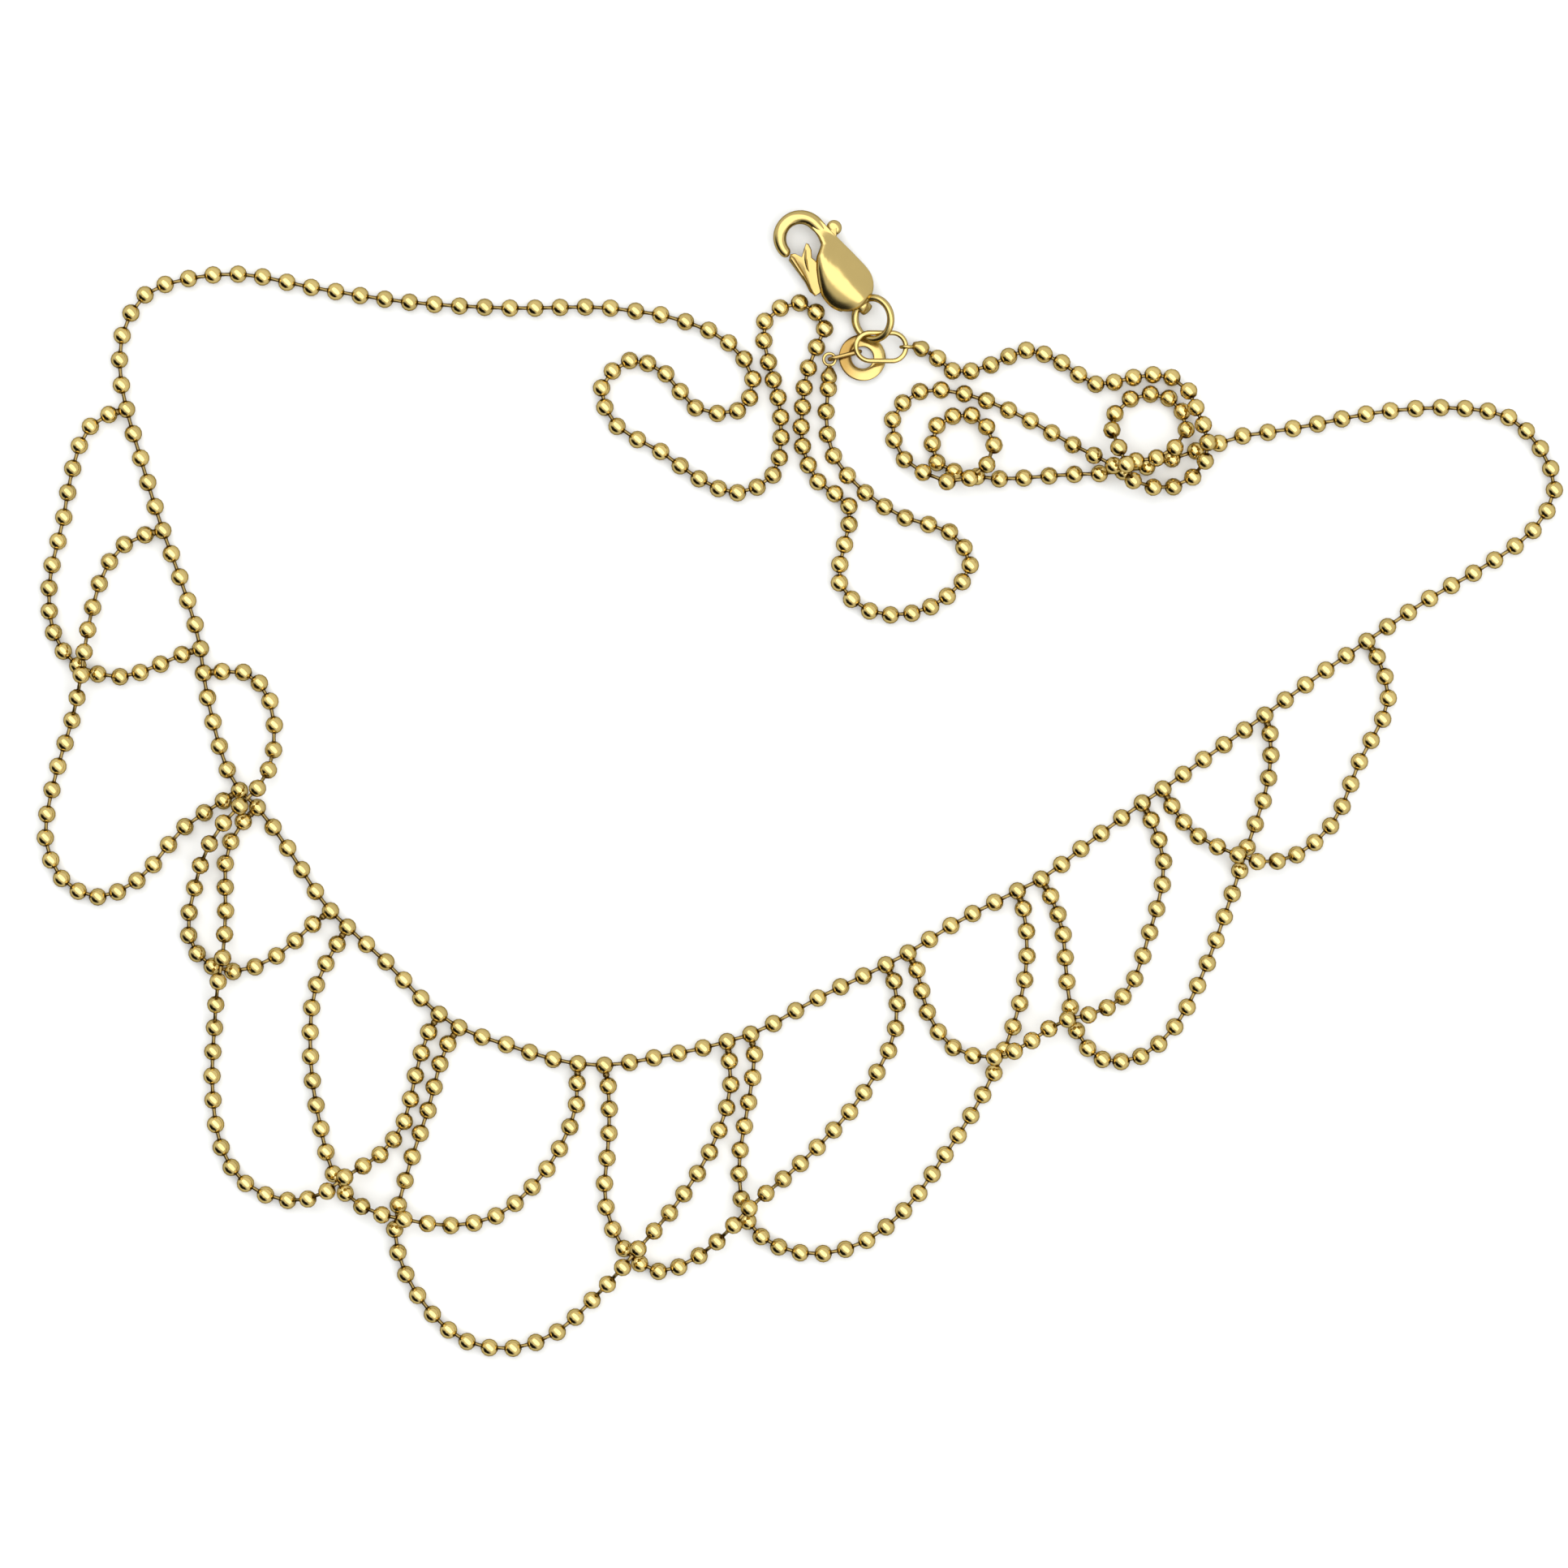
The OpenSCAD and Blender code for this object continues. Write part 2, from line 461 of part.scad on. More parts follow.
module swag_04() {
    swag_tube(3);
}

module swag_05() {
    swag_tube(4);
}

module swag_06() {
    swag_tube(5);
}

module swag_07() {
    swag_tube(6);
}

module swag_08() {
    swag_tube(7);
}

module swag_09() {
    swag_tube(8);
}

module swag_10() {
    swag_tube(9);
}

module swag_11() {
    swag_tube(10);
}

module tail_left() {
    tail_tube(tail(TAIL_LEFT, 0));
}

module tail_right() {
    tail_tube(tail(TAIL_RIGHT, neck_last));
}

neck_beads();
neck_wire();
tail_left();
tail_right();
swag_01();
swag_02();
swag_03();
swag_04();
swag_05();
swag_06();
swag_07();
swag_08();
swag_09();
swag_10();
swag_11();
clasp_body();
clasp_lever();
clasp_ring();
oval_ring();
cap_right();
cap_left();
end_link();
end_ring();
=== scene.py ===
import math

import bmesh
import bpy
import numpy as np
from mathutils import Matrix, Vector


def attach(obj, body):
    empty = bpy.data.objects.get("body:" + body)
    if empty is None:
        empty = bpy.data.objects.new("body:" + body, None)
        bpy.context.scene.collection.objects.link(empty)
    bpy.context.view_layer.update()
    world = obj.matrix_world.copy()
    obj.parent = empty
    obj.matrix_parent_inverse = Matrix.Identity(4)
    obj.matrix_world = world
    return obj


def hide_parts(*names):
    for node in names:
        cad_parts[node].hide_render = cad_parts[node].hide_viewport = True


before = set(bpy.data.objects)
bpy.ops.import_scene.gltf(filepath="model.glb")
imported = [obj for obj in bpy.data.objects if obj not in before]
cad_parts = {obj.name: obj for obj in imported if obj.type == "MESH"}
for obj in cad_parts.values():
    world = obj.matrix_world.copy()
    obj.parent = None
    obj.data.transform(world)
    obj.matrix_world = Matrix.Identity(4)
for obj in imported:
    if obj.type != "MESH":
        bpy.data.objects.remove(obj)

bl_info = {
    "name": "Festoon necklace of ball chain",
    "version": (1, 0, 0),
    "blender": (4, 5, 0),
    "location": "View3D > Sidebar > Necklace",
    "description": "Beads, links, clasp and rings of a gold festoon necklace on a pale table",
    "category": "Object",
}

MM = 0.001
BODY = "necklace"
LEVER_BODY = "lever"
UP = (0, 0, 1)

# The routes, in mm. A row is [x, y, height, beads]: the place of a bead, its height as
# a number of strands that it passes over, and how many beads on from the last row it is
NECK = [[-9.4, 31.7, 0, 0], [-12.8, 32.15, 0, 2], [-19.6, 32.15, 0, 4], [-26.4, 32.55, 0, 4],
    [-33.05, 33.55, 0, 4], [-38, 34.45, 0, 3], [-41.35, 34.15, 0, 2], [-44.3, 33.05, 0, 2],
    [-45.85, 30.3, 0, 2], [-45.9, 26.95, 0, 2], [-45.55, 25.3, 0, 1], [-44.6, 22, 0, 2],
    [-43.1, 17.1, 0, 3], [-41.95, 13.95, 0, 2], [-40.55, 9.1, 0, 3], [-40.35, 7.45, 0, 1],
    [-39.7, 4.15, 0, 2], [-37.9, -0.5, 0, 3], [-36.7, -1.65, 0, 1], [-34.65, -4.4, 0, 2],
    [-31.75, -8.65, 0, 3], [-30.6, -9.75, 0, 1], [-28, -12.1, 0, 2], [-24.4, -15.65, 0, 3],
    [-23.05, -16.55, 0, 1], [-19.85, -17.7, 0, 2], [-15, -19, 0, 3], [-13.2, -19.1, 0, 1],
    [-9.85, -18.6, 0, 2], [-4.9, -17.5, 0, 3], [-3.3, -17, 0, 1], [1.25, -14.55, 0, 3],
    [5.85, -12.3, 0, 3], [7.35, -11.5, 0, 1], [10.25, -9.65, 0, 2], [14.75, -7.3, 0, 3],
    [16.35, -6.5, 0, 1], [19.05, -4.45, 0, 2], [23.2, -1.35, 0, 3], [24.6, -0.4, 0, 1],
    [27.35, 1.6, 0, 2], [31.5, 4.6, 0, 3], [34.25, 6.65, 0, 2], [38.4, 9.6, 0, 3],
    [42.65, 12.5, 0, 3], [47.05, 15.1, 0, 3], [49.65, 17.1, 0, 2], [51.1, 19.85, 0, 2],
    [50.15, 22.65, 0, 2], [48, 24.75, 0, 2], [45.05, 25.35, 0, 2], [40, 25.2, 0, 3],
    [33.4, 24, 0, 4], [30, 23.5, 0, 2]]
# The left end of the neck chain, from the front to its cap
TAIL_LEFT = [[-6.15, 30.65, 0, 2], [-3.75, 28.7, 0, 2], [-3.15, 27.35, 0, 1], [-4.2, 25.2, 0, 2],
    [-7.05, 25.4, 0, 2], [-9.05, 27.7, 0, 2], [-11.5, 28.6, 0, 2], [-13.4, 26.75, 0, 2],
    [-12.35, 24.15, 0, 2], [-9.4, 22.45, 0, 2], [-6.8, 20.6, 0, 2], [-4.2, 19.65, 0, 2],
    [-1.8, 20.85, 0, 2], [-1.25, 23.4, 0, 2], [-1.45, 26.1, 0, 2], [-2.1, 28.5, 0, 2],
    [-2.35, 31.25, 0, 2], [0, 32.5, 0, 2], [1.7, 30.75, 0, 2], [1.15, 29.5, 0, 1], [0.6, 28.1, 0, 1],
    [0.2, 25.45, 0, 2], [0.2, 22.8, 0, 2], [1.25, 20.4, 0, 2], [3.35, 18.75, 0, 2],
    [3.05, 16.15, 0, 2], [2.7, 13.55, 0, 2], [4.75, 11.65, 0, 2], [7.6, 11.5, 0, 2],
    [10, 12.65, 0, 2], [11.55, 14.75, 0, 2], [10.15, 17, 0, 2], [7.15, 17.95, 0, 2],
    [4.45, 19.65, 0, 2], [2.3, 22.15, 0, 2], [1.8, 25.15, 0, 2], [1.95, 26.7, 0, 1]]
# The right end of the neck chain, from the front to its cap
TAIL_RIGHT = [[28.4, 23, 0, 1], [25.2, 21.95, 0, 2], [23.5, 21.4, 0, 1], [20.3, 20.95, 0, 2],
    [18.6, 20.9, 0, 1], [12, 20.75, 0, 4], [9.3, 21.7, 0, 2], [9.3, 24.2, 0, 2],
    [11.65, 24.9, 0, 2], [13.15, 22.85, 0.4, 2], [12.65, 21.5, 1, 1], [9.95, 20.35, 1, 2],
    [8.35, 21, 0.5, 1], [7.1, 21.9, 0, 1], [6.3, 24.6, 0, 2], [8.15, 26.5, 0, 2],
    [11.15, 26.35, 0, 2], [14.15, 25.25, 0, 2], [18.5, 22.9, 0, 3], [19.9, 22.15, 0.6, 1],
    [21.2, 21.45, 1, 1], [22.7, 21.75, 1, 1], [24.1, 21.95, 1, 1], [25.35, 22.65, 1, 1],
    [26.15, 23.9, 0.3, 1], [25, 26.05, 0, 2], [22.4, 26, 0, 2], [21.35, 25, 0.1, 1],
    [21.1, 23.85, 0.8, 1], [21.5, 22.6, 1.85, 1], [22, 21.45, 2.25, 1], [22.5, 20.4, 1.4, 1],
    [23.9, 20, 0.6, 1], [25.3, 20.05, 0.1, 1], [26.6, 20.7, 0.2, 1], [27.4, 21.75, 0.85, 1],
    [27.55, 23, 1.1, 1], [26.75, 25.35, 1, 2], [26.3, 26.5, 0.6, 1], [25.2, 27.45, 0, 1],
    [22.6, 27.45, 0, 2], [20.05, 27, 0, 2], [17.75, 28.45, 0, 2], [15.35, 29.3, 0, 2],
    [12.95, 28.3, 0, 2], [10.35, 27.9, 0, 2], [9.35, 28.75, 0, 1]]
# The swags, from right to left. Each is [first neck bead, last neck bead, rows], and
# its last neck bead lies one bead on from its last row
SWAGS = [
    [96, 86, [[39.1, 8.55, 0, 1], [39.85, 5.75, 0, 2], [37.9, 1.45, 0, 3], [35.95, -2.9, 0, 3],
        [33.65, -4.85, 0, 2], [30.9, -5.3, 1, 2], [29.6, -4.85, 1, 1], [27, -3.6, 0, 2],
        [25.2, -1.55, 0, 2]]],
    [91, 80, [[31.85, 3.35, 0, 1], [31.75, 0.35, 0, 2], [30.3, -4.35, 0, 3], [28.75, -9.05, 0, 3],
        [26.95, -13.7, 0, 3], [25.4, -16.5, 0, 2], [23.1, -18.5, 0, 2], [20.5, -18.7, 0, 2],
        [18.75, -16.75, 0, 2], [18.1, -13.45, 0, 2], [17.85, -10.25, 0, 2], [17, -7.65, 0, 2]]],
    [85, 74, [[23.8, -2.5, 0, 1], [24.65, -5.3, 0, 2], [23.7, -10.1, 0, 3], [21.9, -14.45, 0, 3],
        [19.5, -15.65, 1, 2], [18.1, -15.95, 1, 1], [16.85, -16.6, 0.6, 1], [14.5, -18.1, 1, 2],
        [13.15, -18.5, 1, 1], [10.4, -17.9, 0, 2], [8.65, -15.5, 0, 2], [7.95, -12.65, 0, 2]]],
    [79, 67, [[15.15, -8.5, 0, 1], [15.4, -11.7, 0, 2], [14.45, -16.5, 0, 3], [12.4, -21.1, 0, 3],
        [9.85, -25.15, 0, 3], [7.05, -28.95, 0, 3], [4.55, -30.95, 0, 2], [1.6, -31.85, 0, 2],
        [-1.4, -31.4, 0, 2], [-3.5, -29.65, 0, 2], [-4.1, -26.45, 0, 2], [-3.45, -21.6, 0, 3],
        [-3.05, -18.35, 0, 2]]],
    [73, 61, [[6.4, -13.4, 0, 1], [6.5, -16.6, 0, 2], [4.35, -20.95, 0, 3], [1.2, -24.65, 0, 3],
        [-1.1, -26.8, 0, 2], [-3.4, -28.7, 1, 2], [-4.45, -29.85, 1, 1], [-6.8, -32, 0, 2],
        [-9.55, -33.05, 0, 2], [-11.9, -31.5, 0, 2], [-13.1, -28.7, 0, 2], [-12.9, -23.7, 0, 3],
        [-12.95, -20.5, 0, 2]]],
    [66, 55, [[-4.75, -18.8, 0, 1], [-4.65, -20.4, 0, 1], [-5.45, -23.5, 0, 2], [-8.8, -29.1, 0, 4],
        [-10.9, -31.45, 1, 2], [-11.95, -32.7, 1, 1], [-14.05, -35, 0, 2], [-16.4, -37.15, 0, 2],
        [-19.4, -38.25, 0, 2], [-22.5, -37.8, 0, 2], [-24.85, -35.95, 0, 2], [-26.65, -33.25, 0, 2],
        [-27.4, -30.2, 0, 2], [-26.7, -26.9, 0, 2], [-25.15, -22.15, 0, 3], [-23.8, -17.65, 0, 3]]],
    [49, 60, [[-31.3, -10.9, 0, 1], [-32.7, -13.65, 0, 2], [-33.1, -18.5, 0, 3],
        [-32.4, -23.4, 0, 3], [-31.55, -26.45, 0, 2], [-30.75, -27.75, 0, 1], [-28.2, -29.15, 1, 2],
        [-26.7, -29.45, 1, 1], [-23.6, -29.95, 0, 2], [-20.55, -29.3, 0, 2], [-18.1, -27.35, 0, 2],
        [-16.25, -24.75, 0, 2], [-15.1, -21.75, 0, 2], [-15.05, -20.3, 0, 1]]],
    [43, 54, [[-37.65, -2.6, 0, 1], [-38.5, -3.95, 0, 1], [-38.85, -8.65, 0, 3],
        [-38.95, -11.8, 1, 2], [-39.25, -13.4, 1, 1], [-39.6, -16.55, 0, 2], [-39.7, -21.45, 0, 3],
        [-39.15, -24.65, 0, 2], [-37.5, -27.1, 0, 2], [-34.65, -28.25, 0, 2], [-31.9, -27.55, 1, 2],
        [-30.7, -26.6, 1, 1], [-28.4, -25.15, 0, 2], [-26.75, -22.9, 0, 2], [-26, -19.8, 0, 2],
        [-25.1, -16.85, 0, 2]]],
    [37, 48, [[-39.1, 7.55, 0, 1], [-37.65, 7.5, 0, 1], [-35.85, 5.55, 0, 2], [-35.6, 2.25, 0, 2],
        [-36.6, -0.35, 1, 2], [-37.8, -1.55, 1, 1], [-38.9, -2.7, 1, 1], [-39.85, -4.1, 0.9, 1],
        [-40.95, -7.1, 0, 2], [-41.35, -10.3, 0, 2], [-39.75, -12.4, 0, 2], [-38.35, -12.75, 0, 1],
        [-35.4, -11.7, 0, 2], [-32.95, -9.55, 0, 2]]],
    [31, 42, [[-44.3, 16.8, 0, 1], [-45.7, 16.15, 0, 1], [-47.4, 13.5, 0, 2], [-47.85, 11.9, 0, 1],
        [-48.3, 8.85, 1, 2], [-48.5, 7.3, 1, 1], [-49.25, 4.25, 0, 2], [-50.6, -0.45, 0, 3],
        [-51.05, -3.7, 0, 2], [-49.95, -6.45, 0, 2], [-47.5, -7.7, 0, 2], [-44.85, -6.6, 0, 2],
        [-41.6, -2.95, 0, 3], [-39, -1.2, 0, 2]]],
    [26, 36, [[-46.75, 24.95, 0, 1], [-48, 24.15, 0, 1], [-49.2, 21.3, 0, 2], [-49.8, 18, 0, 2],
        [-50.8, 13.2, 0, 3], [-50.5, 10.2, 0, 2], [-48.85, 7.95, 0, 2], [-46, 7.2, 0, 2],
        [-43.25, 8.05, 0, 2], [-41.8, 8.7, 0, 1]]]]
# Seeds of the small leans and tones of the beads
NECK_SEED = 7
ENDS_SEED = 11
SWAGS_SEED = 23


def unit(v):
    """Each vector divided by its own length."""
    return v / np.linalg.norm(v, axis=-1, keepdims=True)


class Strand:
    """A chain's middle line. Between two rows it is the cubic curve that meets both places
    with the slopes that a smooth curve through three rows in turn has, in the bead number."""

    def __init__(self, rows, bead, rise):
        rows = np.array(rows, float)
        self.knots = np.cumsum(rows[:, 3])
        height = bead / 2 + rows[:, 2] * rise
        self.places = np.column_stack([rows[:, :2], height])
        steps = np.diff(self.knots)[:, None]
        chords = np.diff(self.places, axis=0) / steps
        before, after = steps[:-1], steps[1:]
        inner = (chords[:-1] * after + chords[1:] * before) / (before + after)
        self.slopes = np.vstack([chords[:1], inner, chords[-1:]])
        self.slopes[:, 2] = 0
        self.last = self.knots[-1]

    def at(self, s):
        """Hermite blend: each end's place times 1 - 3t^2 + 2t^3, and each slope times t(1-t)^2."""
        s = np.asarray(s, float)
        i = np.clip(np.searchsorted(self.knots, s) - 1, 0, len(self.knots) - 2)
        h = (self.knots[i + 1] - self.knots[i])[:, None]
        t = (s[:, None] - self.knots[i][:, None]) / h
        return (self.places[i] * (2 * t + 1) * (1 - t) ** 2 + self.slopes[i] * h * t * (1 - t) ** 2
            + self.places[i + 1] * (3 - 2 * t) * t * t - self.slopes[i + 1] * h * t * t * (1 - t))


def strands(s):
    """The neck chain, its two ends and the eleven swags, by CAD node name."""
    bead, rise = s.bead / MM, (s.bead + s.crossing) / MM
    neck = Strand(NECK, bead, rise)

    def from_neck(n, beads):
        x, y, _ = neck.at([n])[0]
        return [x, y, 0, beads]

    made = {"neck": neck,
        "tail_left": Strand([from_neck(0, 0)] + TAIL_LEFT, bead, rise),
        "tail_right": Strand([from_neck(neck.last, 0)] + TAIL_RIGHT, bead, rise)}
    for i, (first, last, rows) in enumerate(SWAGS):
        rows = [from_neck(first, 0)] + rows + [from_neck(last, 1)]
        made["swag_%02d" % (i + 1)] = Strand(rows, bead, rise)
    return made


def quads(rows, cols, loop=False):
    """Point numbers of the faces of a grid that closes round its columns."""
    n = np.arange(rows * cols).reshape(rows, cols)
    if loop:
        n = np.vstack([n, n[:1]])
    n = np.hstack([n, n[:, :1]])
    return np.stack([n[:-1, :-1], n[:-1, 1:], n[1:, 1:], n[1:, :-1]], axis=-1).reshape(-1, 4)


class Build:
    """Gathers grids of points into one mesh, with a painted shade from 0 on open metal to 1 where
    shade is painted in a recess, and a tone from 0 for a darker piece to 1 for a brighter one."""

    def __init__(self):
        self.points, self.faces, self.depth, self.tone, self.count = [], [], [], [], 0

    def add(self, grid, depth=0.0, tone=0.5, loop=False, caps=False):
        """Adds rows x columns of points, with one painted shade for all or one for each. loop joins
        the last row to the first one, and caps closes both end rows."""
        rows, cols = grid.shape[:2]
        self.faces += (quads(rows, cols, loop) + self.count).tolist()
        if caps:
            end = np.arange(cols) + self.count
            self.faces += [end[::-1].tolist(), (end + (rows - 1) * cols).tolist()]
        self.take(grid, np.broadcast_to(depth, rows * cols), np.full(rows * cols, tone))

    def many(self, grid, frames, places, depth, tone):
        """Adds one copy of a grid at each place, with the frame there for its X, Y and Z, and
        closes its ends. The painted shade has a number for each row of the grid, and tone one for each
        copy."""
        rows, cols = grid.shape[:2]
        points = places[:, None] + np.einsum("vi,kij->kvj", grid.reshape(-1, 3), frames)
        starts = self.count + np.arange(len(places)) * rows * cols
        self.faces += (quads(rows, cols)[None] + starts[:, None, None]).reshape(-1, 4).tolist()
        self.faces += (starts[:, None] + np.arange(cols)[::-1]).tolist()
        self.faces += (starts[:, None] + (rows - 1) * cols + np.arange(cols)).tolist()
        self.take(points, np.tile(np.repeat(depth, cols), len(places)),
            np.repeat(tone, rows * cols))

    def take(self, points, depth, tone):
        """Keeps the points with their painted shade and tones, and counts them."""
        self.points.append(points.reshape(-1, 3))
        self.depth.append(depth)
        self.tone.append(tone)
        self.count += len(self.points[-1])

    def object(self, s, node, kind, body=BODY):
        """Makes the mesh an object in that kind of gold, which stands for a CAD node."""
        name = node + "_finish"
        mesh = bpy.data.meshes.new(name)
        mesh.from_pydata((np.vstack(self.points) * MM).tolist(), [], self.faces)
        faces_out(mesh)
        for label, values in (("depth", self.depth), ("tone", self.tone)):
            layer = mesh.attributes.new(label, "FLOAT", "POINT")
            layer.data.foreach_set("value", np.concatenate(values).astype(np.float32))
        mesh.shade_smooth()
        mesh.materials.append(metal(s, kind))
        o = bpy.data.objects.new(name, mesh)
        bpy.context.scene.collection.objects.link(o)
        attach(o, body)
        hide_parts(node)
        return o


def faces_out(mesh):
    """Turns every face of the closed shapes in a mesh outwards."""
    shape = bmesh.new()
    shape.from_mesh(mesh)
    bmesh.ops.recalc_face_normals(shape, faces=shape.faces)
    shape.to_mesh(mesh)
    shape.free()


def circle(sides, turn=0.0):
    """Corners of a regular polygon of radius 1, turned by a share of one side's angle."""
    a = 2 * math.pi * (np.arange(sides) + turn) / sides
    return np.column_stack([np.cos(a), np.sin(a)])


def arc(middle, radius, start, end, count):
    """Points at even angles on a circle, from start to end in degrees."""
    a = np.radians(np.linspace(start, end, count))
    return np.column_stack([np.cos(a), np.sin(a)]) * radius + middle


def in_space(points):
    """The points of a drawing as points in space at height 0."""
    return np.column_stack([points, np.zeros(len(points))])


def turned(profile, sides):
    """Revolves (radius, height) pairs round Z."""
    profile, c = np.asarray(profile, float), circle(sides)
    ring = profile[:, None, 0, None] * c[None]
    height = np.broadcast_to(profile[:, None, 1, None], ring.shape[:2] + (1,))
    return np.concatenate([ring, height], axis=2)


def swept(path, radii, sides, normal=UP, closed=False, flat=1.0):
    """A round section of the given radii swept along a flat path, whose plane has that normal.
    flat stretches the section along the normal, or presses it where it is below 1."""
    path = np.asarray(path, float)
    if closed:
        way = np.roll(path, -1, 0) - np.roll(path, 1, 0)
    else:
        way = np.gradient(path, axis=0)
    normal = unit(np.asarray(normal, float))
    across = unit(np.cross(way, normal))
    c = circle(sides, 0.5)
    radii = np.broadcast_to(radii, len(path))[:, None, None]
    section = c[None, :, :1] * across[:, None] + c[None, :, 1:] * flat * normal
    return path[:, None] + radii * section


def frames_along(axes, length=None):
    """Frames whose Z is the axis, as long as length where it is given, and whose X is level."""
    w = unit(axes)
    side = unit(np.cross(UP, w))
    z = w if length is None else w * length[:, None]
    return np.stack([side, np.cross(w, side), z], axis=1)


# How far a bead leans off the chain's way, and how sharply its painted shade rises to its holes
BEAD_LEAN = 0.06
SHADE_POWER = 6
# A wire in rows of [share of its radius, share of its length], waisted in the middle
WIRE_ROWS = np.array([[1.15, -0.47], [0.92, 0], [1.15, 0.47]])
# The wire's painted shade, dark where it lies between the beads
WIRE_SHADE = 0.75
WIRE_TONE = 0.5
# A drop of solder: its radius in wire widths, how far its middle is off the bead in mm, and
# how far its end rows are from its poles in radians
DROP_R = 0.95
DROP_OFF = 0.05
DROP_POLE = 0.15


def bead_profile(s):
    """A sphere from the rim of one hole to the rim of the other, at even angles."""
    rim = math.asin(s.wire / s.bead)
    a = np.linspace(rim, math.pi - rim, s.bead_bands + 1)
    r = s.bead / 2 / MM
    return np.column_stack([r * np.sin(a), -r * np.cos(a)])


def chain(s, build, centres, rng, dull=()):
    """Beads at the centres, each leaning a little off the chain's way. A bead's painted shade is a
    power of the distance from its middle row, dark at its holes, and those numbered in dull have tone
    0."""
    way = unit(np.gradient(centres, axis=0)) + rng.normal(0, BEAD_LEAN, centres.shape)
    depth = np.abs(np.linspace(-1, 1, s.bead_bands + 1)) ** SHADE_POWER
    tone = rng.random(len(centres))
    tone[list(dull)] = 0
    build.many(turned(bead_profile(s), s.bead_sides), frames_along(way), centres, depth, tone)


def wires(s, build, centres):
    """A straight wire from inside each bead to inside the next one."""
    step = np.diff(centres, axis=0)
    wire = turned(WIRE_ROWS * (s.wire / 2 / MM, 1), s.wire_sides)
    build.many(wire, frames_along(step, np.linalg.norm(step, axis=1)),
        (centres[1:] + centres[:-1]) / 2, np.full(len(WIRE_ROWS), WIRE_SHADE),
        np.full(len(step), WIRE_TONE))


def drop(s, build, place):
    """A drop of solder: a small ball."""
    a = np.linspace(DROP_POLE, math.pi - DROP_POLE, 6)
    radius = s.wire / MM * DROP_R
    ball = turned(radius * np.column_stack([np.sin(a), -np.cos(a)]), sides=10)
    # The solder is darkened with painted shade where it sits between bead and wire
    build.add(ball + place, depth=0.85, tone=0.3, caps=True)


def solder(s, build, strand, first, last):
    """The wire and the solder that join a swag's end beads to the neck chain."""
    for here, inner in ((first, first + 1), (last, last - 1)):
        a, b = strand.at([here, inner])
        wires(s, build, np.array([a, b]))
        drop(s, build, a + unit(b - a) * (s.bead / 2 / MM + DROP_OFF))


# The clasp, in mm in its own frame: X runs from the hook to the ring, Y to the knob
CLASP_AT = (0.061, 36.865, 1.121)
CLASP_TURN = -45
# The hook's wire has rows of (X, radius) inside the body, then of (angle, radius) on its arc
HOOK_R = 1.4
HOOK_END = 267
HOOK_ROOT = [(1.2, 0.36), (0.8, 0.4), (0.4, 0.45), (0.2, 0.47)]
HOOK_WIRE = [(90, 0.48), (150, 0.47), (220, 0.45), (HOOK_END, 0.38)]
HOOK_NOSE = 84
PIVOT = (3.2, 0.0)
PIN_R = 0.3
TAIL = (4.5, -0.05)
TAIL_R = 1.8
PLUG_R = 1.7
PLUG_SPREAD = 109
# The lower cheek and the plug stop at STEP_AT on X, which leaves room for the round ring
STEP_AT = 5.5
LUG_AT = (6.0, -0.25, -0.25)
LUG_R = 0.63
LUG_WIRE = 0.17
LUG_WIDER = 2.6
BODY_T = 2.2
SLOT_T = 0.7
SLOT_BEVEL = 0.01
# The body's outline is worked out round an eye inside it, and is an arc at the tail
BODY_EYE = (2.3, 1.35)
BODY_POINTS = 144
BODY_SIDE = [(4.5, -1.85), (3.79, -1.77), (3.01, -1.32), (2.29, -0.78), (1.72, -0.2),
    (1.44, 0.4), (1.29, 0.69), (0.66, 0.95), (0, 1), (0, 1.78), (1.65, 1.78), (3.2, 1.78), (4.5, 1.75)]
# Shares of the way from the eye to the body's edge, close together at its rim
CHEEK_PARTS = np.array([0.12, 0.3, 0.48, 0.64, 0.76, 0.85, 0.91, 0.955, 0.985, 1])
# The body is highest at CROWN_AT on X, and lower by CROWN_DROP at CROWN_REACH from it
CROWN_AT = 3.4
CROWN_REACH = 3.6
CROWN_DROP = 0.22
# A soft ridge lies along the body, with a flat facet on one side and a curved one on the other
RIDGE_AT = -0.1
RIDGE_SOFT = 0.063
FACET_SLOPE = 0.4
CURVE_SLOPE = 0.1
CURVE_BEND = 0.1
CREST_MIN = 0.05
# The body sinks to HOOK_SHARE of its height over HOOK_BLEND at the hook
HOOK_BLEND = 1.6
HOOK_SHARE = 0.12
# The rim: RIM_DROP times this power of the part comes off the square of the height
RIM_POWER = 9
RIM_DROP = 0.985
LEVER = [(0.5, -1.62), (0.3, -1.25), (0.5, -1.0), (0.98, -0.86), (0.72, -0.4), (0.52, 0),
    (0.7, 0.1), (1.1, -0.05), (1.5, -0.4), (2.3, -0.35), (2.42, 0.26), (1.0, 1.6), (1.25, 2.25),
    (2.75, 0.62), (3.6, 0.45), (3.85, 0), (3.75, -0.6), (3.6, -1.6), (3.5, -2.08), (3, -2.12),
    (2.35, -1.9), (1.4, -1.75)]
LEVER_T = 0.5
LEVER_BEVEL = 0.12
LEVER_SHARP = 40
# Up to GATE_END on X the lever leans about a line at GATE_AT on Y, as far as GATE_PAST beyond it
GATE_LEAN = 0.28
GATE_AT = -0.9
GATE_PAST = 0.4
GATE_END = 3.4
KNOB = (1.12, 2.1)
KNOB_R = 0.52
KNOB_T = 0.68
KNOB_POWER = 0.7
KNOB_POLE = 8
